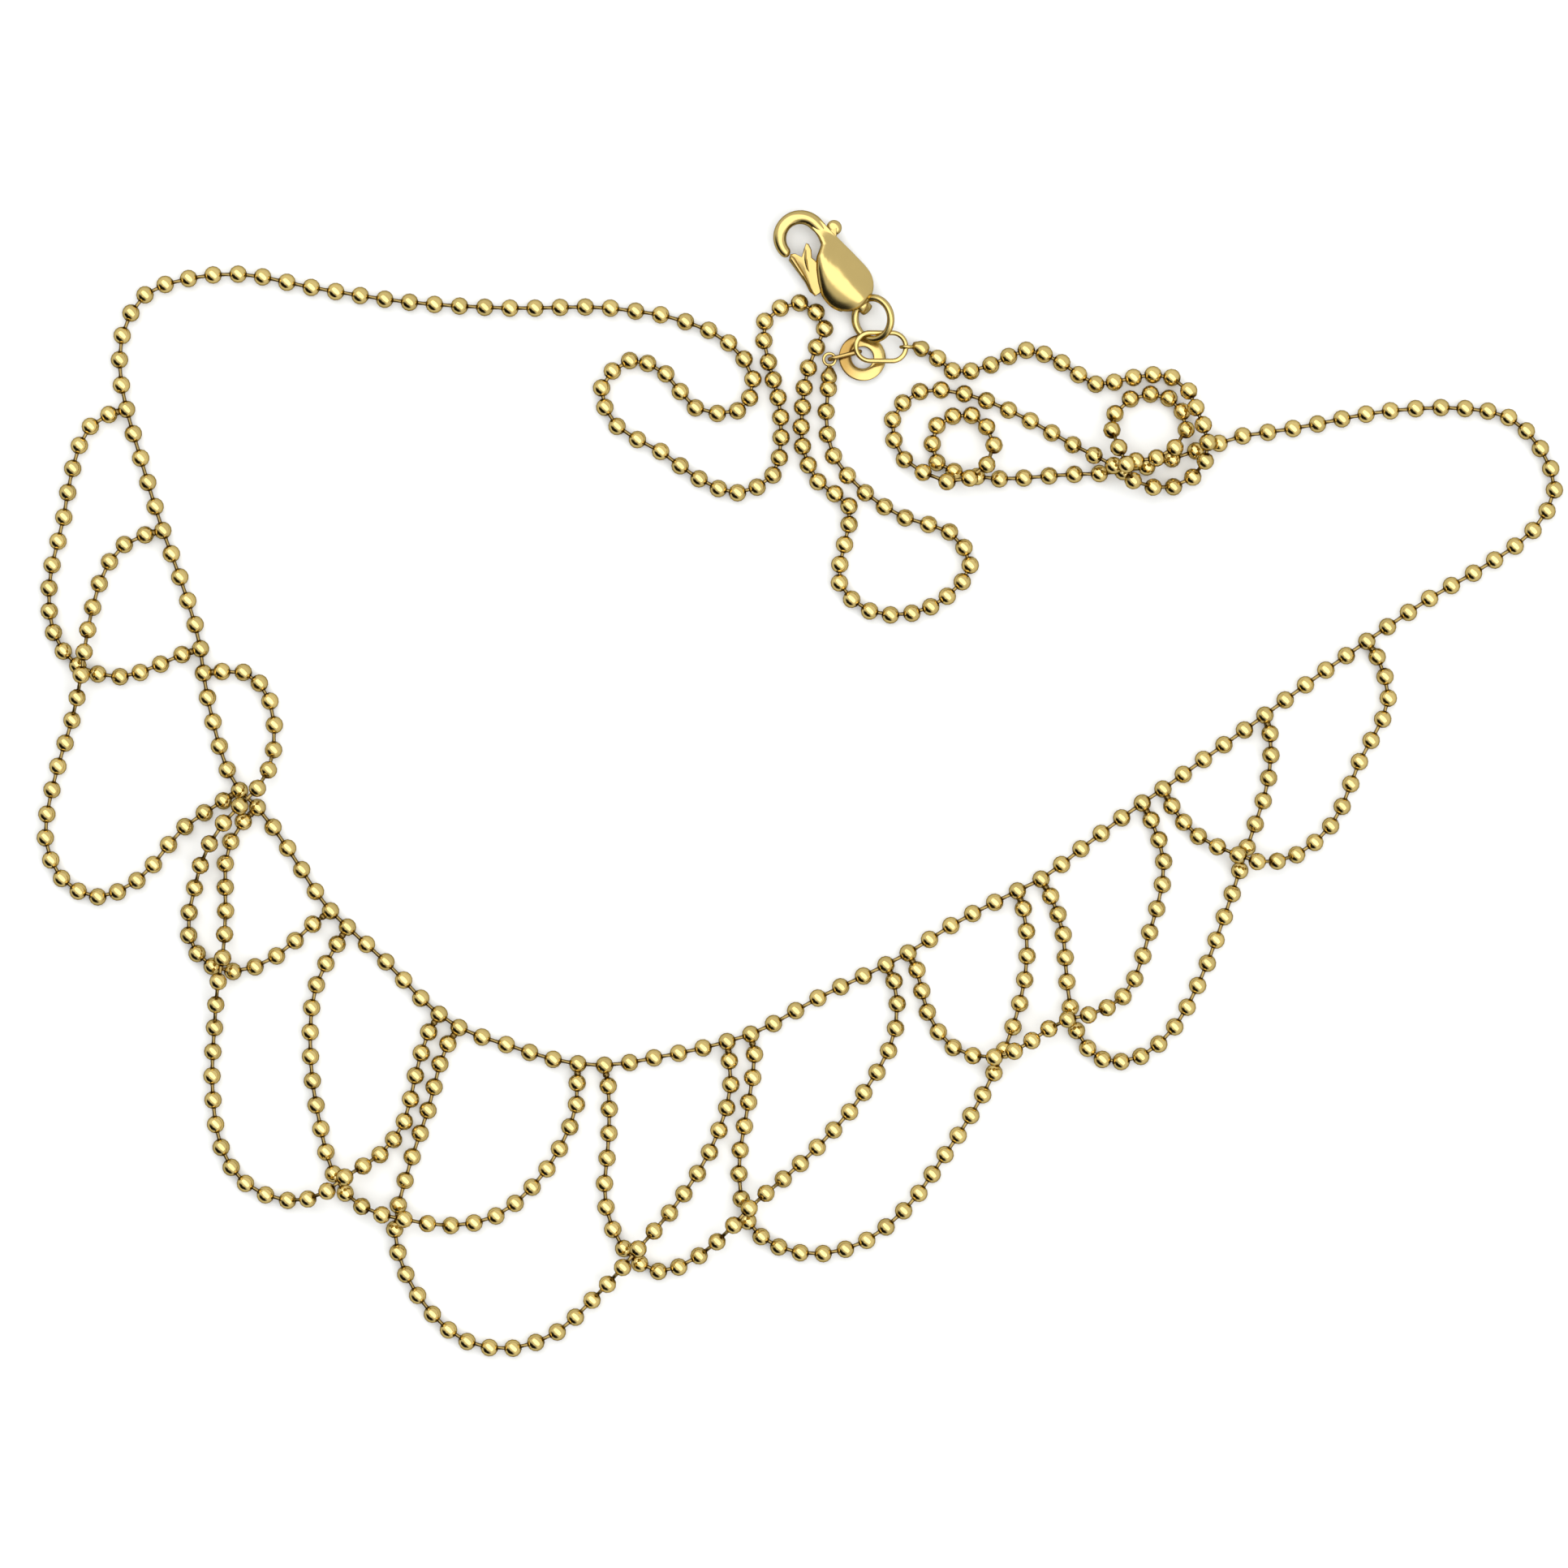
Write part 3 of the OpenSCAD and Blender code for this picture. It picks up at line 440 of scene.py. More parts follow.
# Two ribs on the lever's gate, in rows of [x, y, height, half width, half thickness]
RIBS = [[[0.38, -1.32, 0.06, 0.08, 0.1], [0.62, -1.4, 0.1, 0.19, 0.2], [1.3, -1.55, 0.1, 0.15, 0.16],
        [2.2, -1.74, 0.04, 0.12, 0.14], [3.2, -2.0, 0, 0.08, 0.1]],
    [[0.62, -0.02, 0.12, 0.08, 0.12], [0.85, -0.3, 0.16, 0.15, 0.18], [1.25, -0.75, 0.16, 0.15, 0.18],
        [1.8, -1.15, 0.14, 0.12, 0.14], [2.6, -1.35, 0.1, 0.08, 0.1]]]
# A bevel's middle row, as a share of its way in and down
BEVEL_MIDDLE = 0.3


def rotation(degrees, axis):
    """The 3 x 3 matrix of a turn about an axis."""
    return Matrix.Rotation(math.radians(degrees), 3, Vector(axis))


def placed(grid, turn, at):
    """Turns a grid by a 3 x 3 matrix and moves it."""
    return grid @ np.array(turn).T + np.asarray(at, float)


def on_clasp(grid):
    """Takes a grid from the clasp's own frame to where the clasp lies."""
    return placed(grid, rotation(CLASP_TURN, UP), CLASP_AT)


def plate(outline, low, high, bevel):
    """A flat outline thickened from low to high, with its edges taken off by the bevel."""
    p = np.asarray(outline, float)
    way = unit(np.roll(p, -1, 0) - p) + unit(p - np.roll(p, 1, 0))
    area = np.sum(p[:, 0] * np.roll(p[:, 1], -1) - np.roll(p[:, 0], -1) * p[:, 1])
    inward = unit(np.column_stack([-way[:, 1], way[:, 0]])) * math.copysign(bevel, area)
    middle = bevel * BEVEL_MIDDLE
    rows = [(1, low), (BEVEL_MIDDLE, low + middle), (0, low + bevel),
        (0, high - bevel), (BEVEL_MIDDLE, high - middle), (1, high)]
    return np.stack([np.column_stack([p + inward * share, np.full(len(p), z)])
        for share, z in rows])


def body_outline(count):
    """The body's edge seen from above, as count points at even angles round BODY_EYE. Each
    point's reach is then half its own and a quarter of each neighbour's."""
    p = np.vstack([arc(TAIL, TAIL_R, 90, -90, count=40), BODY_SIDE])
    p = np.vstack([p, p[:1]])
    t = np.linspace(0, 1, 30)[:, None]
    p = (p[:-1, None] + np.diff(p, axis=0)[:, None] * t).reshape(-1, 2) - BODY_EYE
    angle = np.unwrap(np.arctan2(p[:, 1], p[:, 0]))[::-1]
    want = angle[0] + 2 * math.pi * np.arange(count) / count
    r = np.interp(want, angle, np.hypot(p[:, 0], p[:, 1])[::-1])
    r = np.roll(r, -1) / 4 + r / 2 + np.roll(r, 1) / 4
    return np.column_stack([np.cos(want) * r, np.sin(want) * r])


def cheek(side, reach):
    """One cheek of the body, as far as reach on X. Its height falls with the square of the way
    from the crown, and beside the ridge by a straight or a bent slope, softened by the root of
    a sum of squares. It is then times a smooth step at the hook, and times the root of 1 less
    a high power of the part for its rim."""
    xy = CHEEK_PARTS[:, None, None] * body_outline(BODY_POINTS) + BODY_EYE
    along = ((xy[..., 0] - CROWN_AT) / CROWN_REACH) ** 2
    off = xy[..., 1] - RIDGE_AT
    fall = np.where(off > 0, FACET_SLOPE * off, CURVE_BEND * off ** 2 - CURVE_SLOPE * off)
    across = np.hypot(fall, RIDGE_SOFT) - RIDGE_SOFT
    crest = np.maximum((BODY_T - SLOT_T) / 2 * (1 - CROWN_DROP * along) - across, CREST_MIN)
    rise = np.clip(xy[..., 0] / HOOK_BLEND, 0, 1)
    crest = crest * (HOOK_SHARE + (1 - HOOK_SHARE) * rise * rise * (3 - 2 * rise))
    z = SLOT_T / 2 + crest * np.sqrt(1 - CHEEK_PARTS[:, None] ** RIM_POWER * RIM_DROP)
    top = np.concatenate([xy, z[..., None]], axis=2)
    under = np.concatenate([xy[[-1, 0]], np.full((2, xy.shape[1], 1), SLOT_T / 2)], axis=2)
    grid = np.concatenate([top, under])
    grid[..., 0] = np.minimum(grid[..., 0], reach)
    grid[..., 2] *= side
    return grid


def hook():
    """A wire from inside the body round its arc, with radii blended between the rows, and a
    nose whose radius falls as the cosine while it goes on as the sine."""
    angles = np.linspace(90, HOOK_END, 40)
    radii = np.interp(angles, *np.transpose(HOOK_WIRE))
    root = [(x, HOOK_R) for x, _ in HOOK_ROOT]
    tip = np.radians(np.linspace(0, HOOK_NOSE, 6))[1:]
    end = math.radians(HOOK_END) + np.sin(tip) * radii[-1] / HOOK_R
    nose = np.column_stack([np.cos(end), np.sin(end)]) * HOOK_R
    path = np.vstack([root, arc((0, 0), HOOK_R, 90, HOOK_END, count=40), nose])
    radii = np.concatenate([[r for _, r in HOOK_ROOT], radii, radii[-1] * np.cos(tip)])
    return swept(in_space(path), radii, sides=20)


def clasp_body(s):
    """The two cheeks, the plug between them at the tail, the hook, the lug and the pin."""
    build = Build()
    build.add(on_clasp(cheek(1, TAIL[0] + 2 * TAIL_R)), tone=0.7, caps=True)
    build.add(on_clasp(cheek(-1, STEP_AT)), caps=True)
    plug = arc(TAIL, PLUG_R, -PLUG_SPREAD, PLUG_SPREAD, count=30)
    plug[:, 0] = np.minimum(plug[:, 0], STEP_AT)
    pin = circle(20) * PIN_R + PIVOT
    for outline in (plug, pin):
        between = plate(outline, -SLOT_T / 2, SLOT_T / 2, SLOT_BEVEL)
        # The plug and the pin between the cheeks get painted shade
        build.add(on_clasp(between), depth=0.5, caps=True)
    build.add(on_clasp(hook()), tone=0.8, caps=True)
    lug = in_space(circle(28) * LUG_R)[:, [0, 2, 1]] + LUG_AT
    lug = swept(lug, LUG_WIRE, sides=12, normal=(0, 1, 0), closed=True, flat=LUG_WIDER)
    build.add(on_clasp(lug), loop=True)
    build.object(s, "clasp_body", "clasp")


def strip(rows, sides, count):
    """A rounded strip through rows of [x, y, height, half width, half thickness], each eased
    into the next by straight blends that are then smoothed twice."""
    rows = np.array(rows, float)
    at = np.linspace(0, len(rows) - 1, count)
    row = np.column_stack([np.interp(at, np.arange(len(rows)), column) for column in rows.T])
    for _ in range(2):
        row[1:-1] = (row[:-2] + 2 * row[1:-1] + row[2:]) / 4
    way = unit(np.gradient(row[:, :2], axis=0))
    across = np.column_stack([way[:, 1], -way[:, 0], 0 * at])
    c = circle(sides, 0.5)
    grid = row[:, None, :3] + across[:, None] * (c[None, :, :1] * row[:, None, 3:4])
    grid[..., 2] += c[None, :, 1] * row[:, None, 4]
    return grid


def clasp_lever(s):
    """The lever's blade, the ribs on its gate, and its knob, whose radius is the sine of an
    angle to a power where its height is the cosine."""
    build = Build()
    blade = plate(LEVER, -LEVER_T / 2, LEVER_T / 2, LEVER_BEVEL)
    lean = GATE_LEAN * np.minimum(blade[..., 1] - GATE_AT, GATE_PAST)
    blade[..., 2] += lean * (blade[..., 0] < GATE_END)
    # Painted shade and a low tone darken the blade and its ribs all over, for the shade on the lever
    build.add(on_clasp(blade), depth=0.2, tone=0.1, caps=True)
    for rows in RIBS:
        build.add(on_clasp(strip(rows, sides=10, count=24)), depth=0.3, tone=0.1, caps=True)
    a = np.radians(np.linspace(KNOB_POLE, 180 - KNOB_POLE, 12))
    button = np.column_stack([KNOB_R * np.sin(a) ** KNOB_POWER, -KNOB_T / 2 * np.cos(a)])
    build.add(on_clasp(turned(button, sides=28) + (*KNOB, 0)), tone=0.4, caps=True)
    o = build.object(s, "clasp_lever", "clasp", LEVER_BODY)
    o.data.set_sharp_from_angle(angle=math.radians(LEVER_SHARP))


# The rings of wire in mm: the radius, or half the length and half the width, of the middle
# line, and the wire's radius
ROUND_R = 1.4
ROUND_WIRE = 0.25
OVAL_SIZE = (1.7, 0.95)
OVAL_WIRE = 0.17
LINK_SIZE = (1.07, 0.45)
LINK_WIRE = 0.14
# The flat ring: its band's middle radius, half width and half thickness
FLAT_R = 1.175
FLAT_BAND = 0.425
FLAT_T = 0.12
FLAT_POWER = 0.8
# Its painted shade, darker towards its left side: the least of it, how much more there is, and where
# and which way
SIDE_SHADE_LEAST = 0.03
SIDE_SHADE_MORE = 0.8
SIDE_SHADE_AT = 0.2
SIDE_SHADE_WAY = (-0.8, 0.2)
# How each ring lies: its place in mm, and its turns in order as (degrees, axis)
RING_PLACES = {"clasp_ring": ((4.958, 31.402, 1.319), [(31.8, (0.134, -0.605, 0))]),
    "oval_ring": ((5.508, 29.5, 1.119), [(5.7, (0, 1, 0))]),
    "end_ring": ((4.253, 28.802, 0.48), [(10.2, (-0.77, 0.64, 0))]),
    "end_link": ((3.066, 28.946, 0.62), [(90, (1, 0, 0)), (14.4, UP)])}


def ring_path(r, count):
    """A flat circle."""
    return in_space(circle(count) * r)


def oval_path(length, width, count):
    """A flat oval: two half circles of radius width, length from its middle to its ends."""
    half = arc((length - width, 0), width, -90, 90, count)
    return in_space(np.vstack([half, -half]))


def loose_ring(s, name, grid, depth, tone):
    """Turns and moves a ring to where it lies and makes it an object."""
    place, turns = RING_PLACES[name]
    for degrees, axis in turns:
        grid = placed(grid, rotation(degrees, axis), (0, 0, 0))
    build = Build()
    build.add(grid + place, depth, tone, loop=True)
    build.object(s, name, "clasp")


def rings(s):
    """The round ring, the thin oval ring, the flat ring and the small link. The flat ring's
    band is as wide as the cosine to a power and as thick as the sine."""
    ring = swept(ring_path(ROUND_R, count=48), ROUND_WIRE, sides=16, closed=True)
    loose_ring(s, "clasp_ring", ring, depth=0, tone=0.7)
    oval = swept(oval_path(*OVAL_SIZE, count=20), OVAL_WIRE, sides=12, closed=True)
    loose_ring(s, "oval_ring", oval, depth=0, tone=0.9)
    x, z = circle(24).T
    x = np.sign(x) * np.abs(x) ** FLAT_POWER * FLAT_BAND + FLAT_R
    band = turned(np.column_stack([x, z * FLAT_T]), sides=64)
    # Painted shade on the flat ring, darker towards its left side
    side_shade = np.clip(SIDE_SHADE_AT + band[..., :2] @ np.array(SIDE_SHADE_WAY), 0, 1)
    depth = SIDE_SHADE_LEAST + SIDE_SHADE_MORE * side_shade
    loose_ring(s, "end_ring", band, depth=depth.ravel(), tone=0.4)
    link = swept(oval_path(*LINK_SIZE, count=14), LINK_WIRE, sides=10, closed=True)
    # The small link gets painted shade, as it lies under the rings
    loose_ring(s, "end_link", link, depth=0.5, tone=0.3)


# A cap's loop, in mm, and its neck in rows of (radius, share of its length, painted shade)
CAP_LOOP_R = 0.4
CAP_LOOP_WIRE = 0.11
CAP_NECK = [(0.16, 0, 0.5), (0.16, 0.6, 0.6), (0.22, 1, 0.6)]
# A cap's bell in rows of (radius, place on its axis, painted shade), in mm, with the shade painted in
# at its ends
CAP_BELL = [(0.02, -0.42, 0.6), (0.2, -0.4, 0.6), (0.3, -0.25, 0.3), (0.42, -0.08, 0.1),
    (0.52, 0.08, 0), (0.56, 0.25, 0), (0.55, 0.4, 0), (0.48, 0.56, 0), (0.34, 0.7, 0.2),
    (0.1, 0.78, 0.6)]
# Where the last wire of each chain end stops, inside its cap's bell, in mm
CAP_ENDS = {"tail_left": (1.97, 27.35, 0.6), "tail_right": (8.73, 29.17, 0.6)}
# Each cap: the middle and the normal of its loop, and where its bell starts and heads for
CAPS = {"cap_left": ((2.03, 28.68, 0.62), UP, (2.02, 27.75, 0.6), CAP_ENDS["tail_left"]),
    "cap_right": ((7.25, 29.5, 0.95), (0, 1, 0), (8.02, 29.5, 0.75), CAP_ENDS["tail_right"])}


def spun(build, rows, sides, start, axis, tone, length=1.0):
    """Adds rows of (radius, place, painted shade) revolved round an axis, with the places times
    length.
    """
    radius, along, depth = np.transpose(rows)
    build.many(turned(np.column_stack([radius, along * length]), sides),
        frames_along(axis[None]), start[None], depth, np.array([tone]))


def caps(s):
    """On each chain end a loop of wire, a short neck and a bell that grips the last bead."""
    for name, (eye, normal, near, far) in CAPS.items():
        eye, near, far = (np.array(v, float) for v in (eye, near, far))
        turn = Vector(UP).rotation_difference(Vector(normal)).to_matrix()
        loop = swept(ring_path(CAP_LOOP_R, count=24), CAP_LOOP_WIRE, sides=10, closed=True)
        build = Build()
        build.add(placed(loop, turn, eye), tone=0.6, loop=True)
        foot = eye + unit(near - eye) * CAP_LOOP_R
        neck = near - foot
        spun(build, CAP_NECK, 12, foot, neck, tone=0.4, length=np.linalg.norm(neck))
        spun(build, CAP_BELL, 20, near, far - near, tone=0.6)
        build.object(s, name, "clasp")


def neck_chain(s):
    """The beads and the wire of the neck chain's front, dull where a swag hangs from a bead."""
    rng = np.random.default_rng(NECK_SEED)
    neck = strands(s)["neck"]
    centres = neck.at(np.arange(neck.last + 1))
    build = Build()
    hung = {n for swag in SWAGS for n in swag[:2]}
    chain(s, build, centres, rng, hung)
    build.object(s, "neck_beads", "chain")
    build = Build()
    wires(s, build, centres)
    build.object(s, "neck_wire", "chain")


def chain_ends(s):
    """The two ends of the neck chain, whose last wires run into the caps."""
    rng = np.random.default_rng(ENDS_SEED)
    for name in ("tail_left", "tail_right"):
        strand = strands(s)[name]
        centres = strand.at(np.arange(strand.last + 1))
        build = Build()
        chain(s, build, centres[1:], rng)
        wires(s, build, np.vstack([centres, CAP_ENDS[name]]))
        build.object(s, name, "chain")


def swags(s):
    """The eleven swags, each soldered to two beads of the neck chain."""
    rng = np.random.default_rng(SWAGS_SEED)
    made = strands(s)
    for i in range(len(SWAGS)):
        name = "swag_%02d" % (i + 1)
        centres = made[name].at(np.arange(made[name].last + 1))
        build = Build()
        chain(s, build, centres[1:-1], rng)
        wires(s, build, centres[1:-1])
        solder(s, build, made[name], 0, made[name].last)
        build.object(s, name, "chain")


# Fine wear on the gold: its scale, what it adds to the roughness, and its bump in metres
WEAR_SCALE = 1400.0
WEAR_DETAIL = 3.0
WEAR_ROUGHNESS = 0.12
WEAR_STRENGTH = 0.25
WEAR_HEIGHT = 0.00002
# How much darker the darkest piece of each gold is than the brightest
CHAIN_VARIES = 0.18
CLASP_VARIES = 0.08


def gold_group():
    """Node group that darkens a metal with painted shade in its recesses and between parts, varies
    it from bead to bead and gives it fine wear."""
    group = bpy.data.node_groups.get("Worn gold with painted shade")
    if group:
        return group
    group = bpy.data.node_groups.new("Worn gold with painted shade", "ShaderNodeTree")
    face = group.interface
    colour = face.new_socket("Metal colour", in_out="INPUT", socket_type="NodeSocketColor")
    shade_socket = face.new_socket("Shade colour", in_out="INPUT", socket_type="NodeSocketColor")
    rough = face.new_socket("Roughness", in_out="INPUT", socket_type="NodeSocketFloat")
    vary = face.new_socket("Variation", in_out="INPUT", socket_type="NodeSocketFloat")
    colour.default_value, shade_socket.default_value = (0.9, 0.7, 0.35, 1), (0.2, 0.12, 0.03, 1)
    rough.default_value, vary.default_value = 0.2, 0.15
    for name, kind in (("Colour", "Color"), ("Roughness", "Float"), ("Normal", "Vector")):
        face.new_socket(name, in_out="OUTPUT", socket_type="NodeSocket" + kind)
    nodes, link = group.nodes, group.links.new
    given, out = nodes.new("NodeGroupInput"), nodes.new("NodeGroupOutput")
    place = nodes.new("ShaderNodeTexCoord")
    depth, tone = nodes.new("ShaderNodeAttribute"), nodes.new("ShaderNodeAttribute")
    depth.attribute_name, tone.attribute_name = "depth", "tone"
    # Mixes the painted shade colour in as far as the painted shade attribute goes
    darken = nodes.new("ShaderNodeMix")
    darken.data_type = "RGBA"
    link(depth.outputs["Fac"], darken.inputs["Factor"])
    link(given.outputs["Metal colour"], darken.inputs["A"])
    link(given.outputs["Shade colour"], darken.inputs["B"])
    level = nodes.new("ShaderNodeMapRange")
    link(tone.outputs["Fac"], level.inputs["Value"])
    low = nodes.new("ShaderNodeMath")
    low.operation = "SUBTRACT"
    low.inputs[0].default_value = 1.0
    link(given.outputs["Variation"], low.inputs[1])
    link(low.outputs[0], level.inputs["To Min"])
    tinted = nodes.new("ShaderNodeHueSaturation")
    link(level.outputs["Result"], tinted.inputs["Value"])
    link(darken.outputs["Result"], tinted.inputs["Color"])
    link(tinted.outputs["Color"], out.inputs["Colour"])
    wear = nodes.new("ShaderNodeTexNoise")
    wear.inputs["Scale"].default_value = WEAR_SCALE
    wear.inputs["Detail"].default_value = WEAR_DETAIL
    link(place.outputs["Object"], wear.inputs["Vector"])
    add = nodes.new("ShaderNodeMath")
    add.operation = "MULTIPLY_ADD"
    add.inputs[1].default_value = WEAR_ROUGHNESS
    link(wear.outputs["Fac"], add.inputs[0])
    link(given.outputs["Roughness"], add.inputs[2])
    link(add.outputs[0], out.inputs["Roughness"])
    bump = nodes.new("ShaderNodeBump")
    bump.inputs["Strength"].default_value = WEAR_STRENGTH
    bump.inputs["Distance"].default_value = WEAR_HEIGHT
    link(wear.outputs["Fac"], bump.inputs["Height"])
    link(bump.outputs["Normal"], out.inputs["Normal"])
    return group


def metal(s, kind):
    """The gold of the chain or the cleaner gold of the clasp and rings."""
    name, colour, rough, share, varies = {
        "chain": ("Chain gold", s.chain_colour, s.chain_roughness, s.chain_shade, CHAIN_VARIES),
        "clasp": ("Clasp gold", s.clasp_colour, s.clasp_roughness, 1, CLASP_VARIES)}[kind]
    if name in bpy.data.materials:
        return bpy.data.materials[name]
    mat = bpy.data.materials.new(name)
    mat.use_nodes = True
    nodes, link = mat.node_tree.nodes, mat.node_tree.links.new
    shader = nodes["Principled BSDF"]
    shader.inputs["Metallic"].default_value = 1.0
    shader.inputs["Specular Tint"].default_value = (*s.edge_colour, 1)
    group = nodes.new("ShaderNodeGroup")
    group.node_tree = gold_group()
    group.inputs["Metal colour"].default_value = (*colour, 1)
    # The colour of the painted shade, dimmer on the chain
    group.inputs["Shade colour"].default_value = (*[c * share for c in s.shade_colour], 1)
    group.inputs["Roughness"].default_value = rough
    group.inputs["Variation"].default_value = varies
    link(group.outputs["Colour"], shader.inputs["Base Color"])
    link(group.outputs["Roughness"], shader.inputs["Roughness"])
    link(group.outputs["Normal"], shader.inputs["Normal"])
    return mat


# The photo is 1932 pixels wide at 0.055 mm each, and its middle lies left of the object's
VIEW_W = 0.10626
VIEW_AT = (-0.00105, -0.00006)
CAMERA_UP = 0.5
CAMERA_REACH = (0.01, 10)
SENSOR = 36.0
TABLE_W = 1.2
TABLE_ROUGHNESS = 0.6
TABLE_CLOUDS = 18.0
TABLE_DARKEST = 0.97
# The sky's dark band, in rows of (direction, cosine where it is darkest, cosine at its end)
DARK_BAND = [((-0.66, -0.75, 0), 0.72, 0.44), (UP, 0.65, 0.79)]
DARKEST = 0.01
SOFTBOX_AT = (0.05, 0.08, 0.62)
SOFTBOX_SIZE = (0.6, 2.0)
SOFTBOX_TURN = 45


def table(s):
    """A pale matt table top at z = 0. The metal mirrors it as a darker one, which gives the
    beads their dark rims."""
    mesh = bpy.data.meshes.new("table_top")
    corners = np.array([(-1, -1, 0), (1, -1, 0), (1, 1, 0), (-1, 1, 0)]) * TABLE_W / 2
    mesh.from_pydata(corners.tolist(), [], [[0, 1, 2, 3]])
    mat = bpy.data.materials.new("Table")
    mat.use_nodes = True
    nodes, link = mat.node_tree.nodes, mat.node_tree.links.new
    shader = nodes["Principled BSDF"]
    shader.inputs["Roughness"].default_value = TABLE_ROUGHNESS
    place, noise, ramp = (nodes.new("ShaderNodeTexCoord"), nodes.new("ShaderNodeTexNoise"),
        nodes.new("ShaderNodeValToRGB"))
    noise.inputs["Scale"].default_value = TABLE_CLOUDS
    link(place.outputs["Object"], noise.inputs["Vector"])
    link(noise.outputs["Fac"], ramp.inputs["Fac"])
    ramp.color_ramp.elements[0].color = (*[c * TABLE_DARKEST for c in s.table_colour], 1)
    ramp.color_ramp.elements[1].color = (*s.table_colour, 1)
    path, seen = nodes.new("ShaderNodeLightPath"), nodes.new("ShaderNodeMix")
    seen.data_type = "RGBA"
    link(path.outputs["Is Camera Ray"], seen.inputs["Factor"])
    seen.inputs["A"].default_value = (*[c * s.table_mirrored for c in s.table_colour], 1)
    link(ramp.outputs["Color"], seen.inputs["B"])
    link(seen.outputs["Result"], shader.inputs["Base Color"])
    mesh.materials.append(mat)
    o = bpy.data.objects.new("table_top", mesh)
    bpy.context.scene.collection.objects.link(o)
    return o


def sky(s):
    """A white studio with one dark band, low down at the lower left, that the beads mirror.
    It is dark where both the direction's height and its turn away from the band are small."""
    world = bpy.data.worlds.new("Studio")
    bpy.context.scene.world = world
    world.use_nodes = True
    nodes, link = world.node_tree.nodes, world.node_tree.links.new
    place = nodes.new("ShaderNodeTexCoord")
    either = nodes.new("ShaderNodeMath")
    either.operation = "MAXIMUM"
    for i, (aim, darkest, end) in enumerate(DARK_BAND):
        side = nodes.new("ShaderNodeVectorMath")
        side.operation = "DOT_PRODUCT"
        side.inputs[1].default_value = aim
        link(place.outputs["Generated"], side.inputs[0])
        level = nodes.new("ShaderNodeMapRange")
        level.inputs["From Min"].default_value = darkest
        level.inputs["From Max"].default_value = end
        level.inputs["To Min"].default_value = DARKEST
        link(side.outputs["Value"], level.inputs["Value"])
        link(level.outputs["Result"], either.inputs[i])
    link(either.outputs[0], nodes["Background"].inputs["Color"])
    nodes["Background"].inputs["Strength"].default_value = s.sky_strength


def softbox(s):
    """A long softbox that faces straight down, turned about the vertical."""
    light = bpy.data.lights.new("softbox", "AREA")
    light.shape = "RECTANGLE"
    light.energy = s.key_power
    light.size, light.size_y = SOFTBOX_SIZE
    o = bpy.data.objects.new("softbox", light)
    o.location = SOFTBOX_AT
    o.rotation_euler = (0, 0, math.radians(SOFTBOX_TURN))
    bpy.context.scene.collection.objects.link(o)


def camera():
    """A camera straight above, as wide as the photo at the table."""
    data = bpy.data.cameras.new("camera")
    data.sensor_width = SENSOR
    data.lens = SENSOR * CAMERA_UP / VIEW_W
    data.clip_start, data.clip_end = CAMERA_REACH
    o = bpy.data.objects.new("camera", data)
    o.location = (*VIEW_AT, CAMERA_UP)
    bpy.context.scene.collection.objects.link(o)
    bpy.context.scene.camera = o


def stage(s):
    """The table, the studio's light, the softbox and the camera."""
    table(s)
    sky(s)
    softbox(s)
    camera()
    bpy.context.scene.view_settings.view_transform = "Standard"


def colour(name, about, value):
    """A colour that the panel shows."""
    return bpy.props.FloatVectorProperty(name=name, description=about, subtype="COLOR", size=3,
        min=0, max=1, default=value)


class NecklaceSettings(bpy.types.PropertyGroup):
    bead: bpy.props.FloatProperty(name="Bead diameter", unit="LENGTH", precision=5,
        description="Diameter of one hollow bead", default=0.0012)
    wire: bpy.props.FloatProperty(name="Wire diameter", unit="LENGTH", precision=5,
        description="Diameter of the wire between two beads", default=0.00026)
    crossing: bpy.props.FloatProperty(name="Crossing clearance", unit="LENGTH", precision=5,
        description="Clearance between two strands that cross", default=0.0001)
    bead_sides: bpy.props.IntProperty(name="Bead sides", min=8, max=16,
        description="Faces round one bead", default=12)
    bead_bands: bpy.props.IntProperty(name="Bead bands", min=4, max=10,
        description="Rows of faces from one hole of a bead to the other", default=6)
    wire_sides: bpy.props.IntProperty(name="Wire sides", min=5, max=8,
        description="Faces round the wire", default=6)
    chain_colour: colour("Chain colour", "Colour of the beads", (0.83, 0.63, 0.24))
    clasp_colour: colour("Clasp colour", "Colour of the clasp and rings", (0.62, 0.47, 0.175))
    edge_colour: colour("Edge colour", "Tint of reflections at the metal's rims", (0.25, 0.17, 0.07))
    # The colour of the shade painted into the recesses and between the beads, and how bright that
    # painted shade is on the chain
    shade_colour: colour("Shade colour", "Colour between the beads", (0.30, 0.17, 0.04))
    chain_shade: bpy.props.FloatProperty(name="Chain recess", subtype="FACTOR", min=0, max=1,
        description="How bright the recess colour is on the chain", default=0.35)
    chain_roughness: bpy.props.FloatProperty(name="Chain roughness", subtype="FACTOR", min=0,
        max=1, description="How blurred the beads' reflections are", default=0.04)
    clasp_roughness: bpy.props.FloatProperty(name="Clasp roughness", subtype="FACTOR", min=0,
        max=1, description="How blurred the clasp's reflections are", default=0.15)
    table_colour: colour("Table colour", "Colour of the table top", (0.93, 0.945, 0.95))
    table_mirrored: bpy.props.FloatProperty(name="Mirrored table", subtype="FACTOR", min=0, max=1,
        description="How bright the table is in the metal's reflections", default=0.6)
    sky_strength: bpy.props.FloatProperty(name="Studio light", min=0, max=5,
        description="Strength of the light from all round", default=0.87)
    key_power: bpy.props.FloatProperty(name="Softbox", subtype="POWER", min=0, max=50,
        description="Power of the wide lamp overhead", default=5.6)


def settings(context):
    """The values that the panel shows."""
    return context.scene.necklace


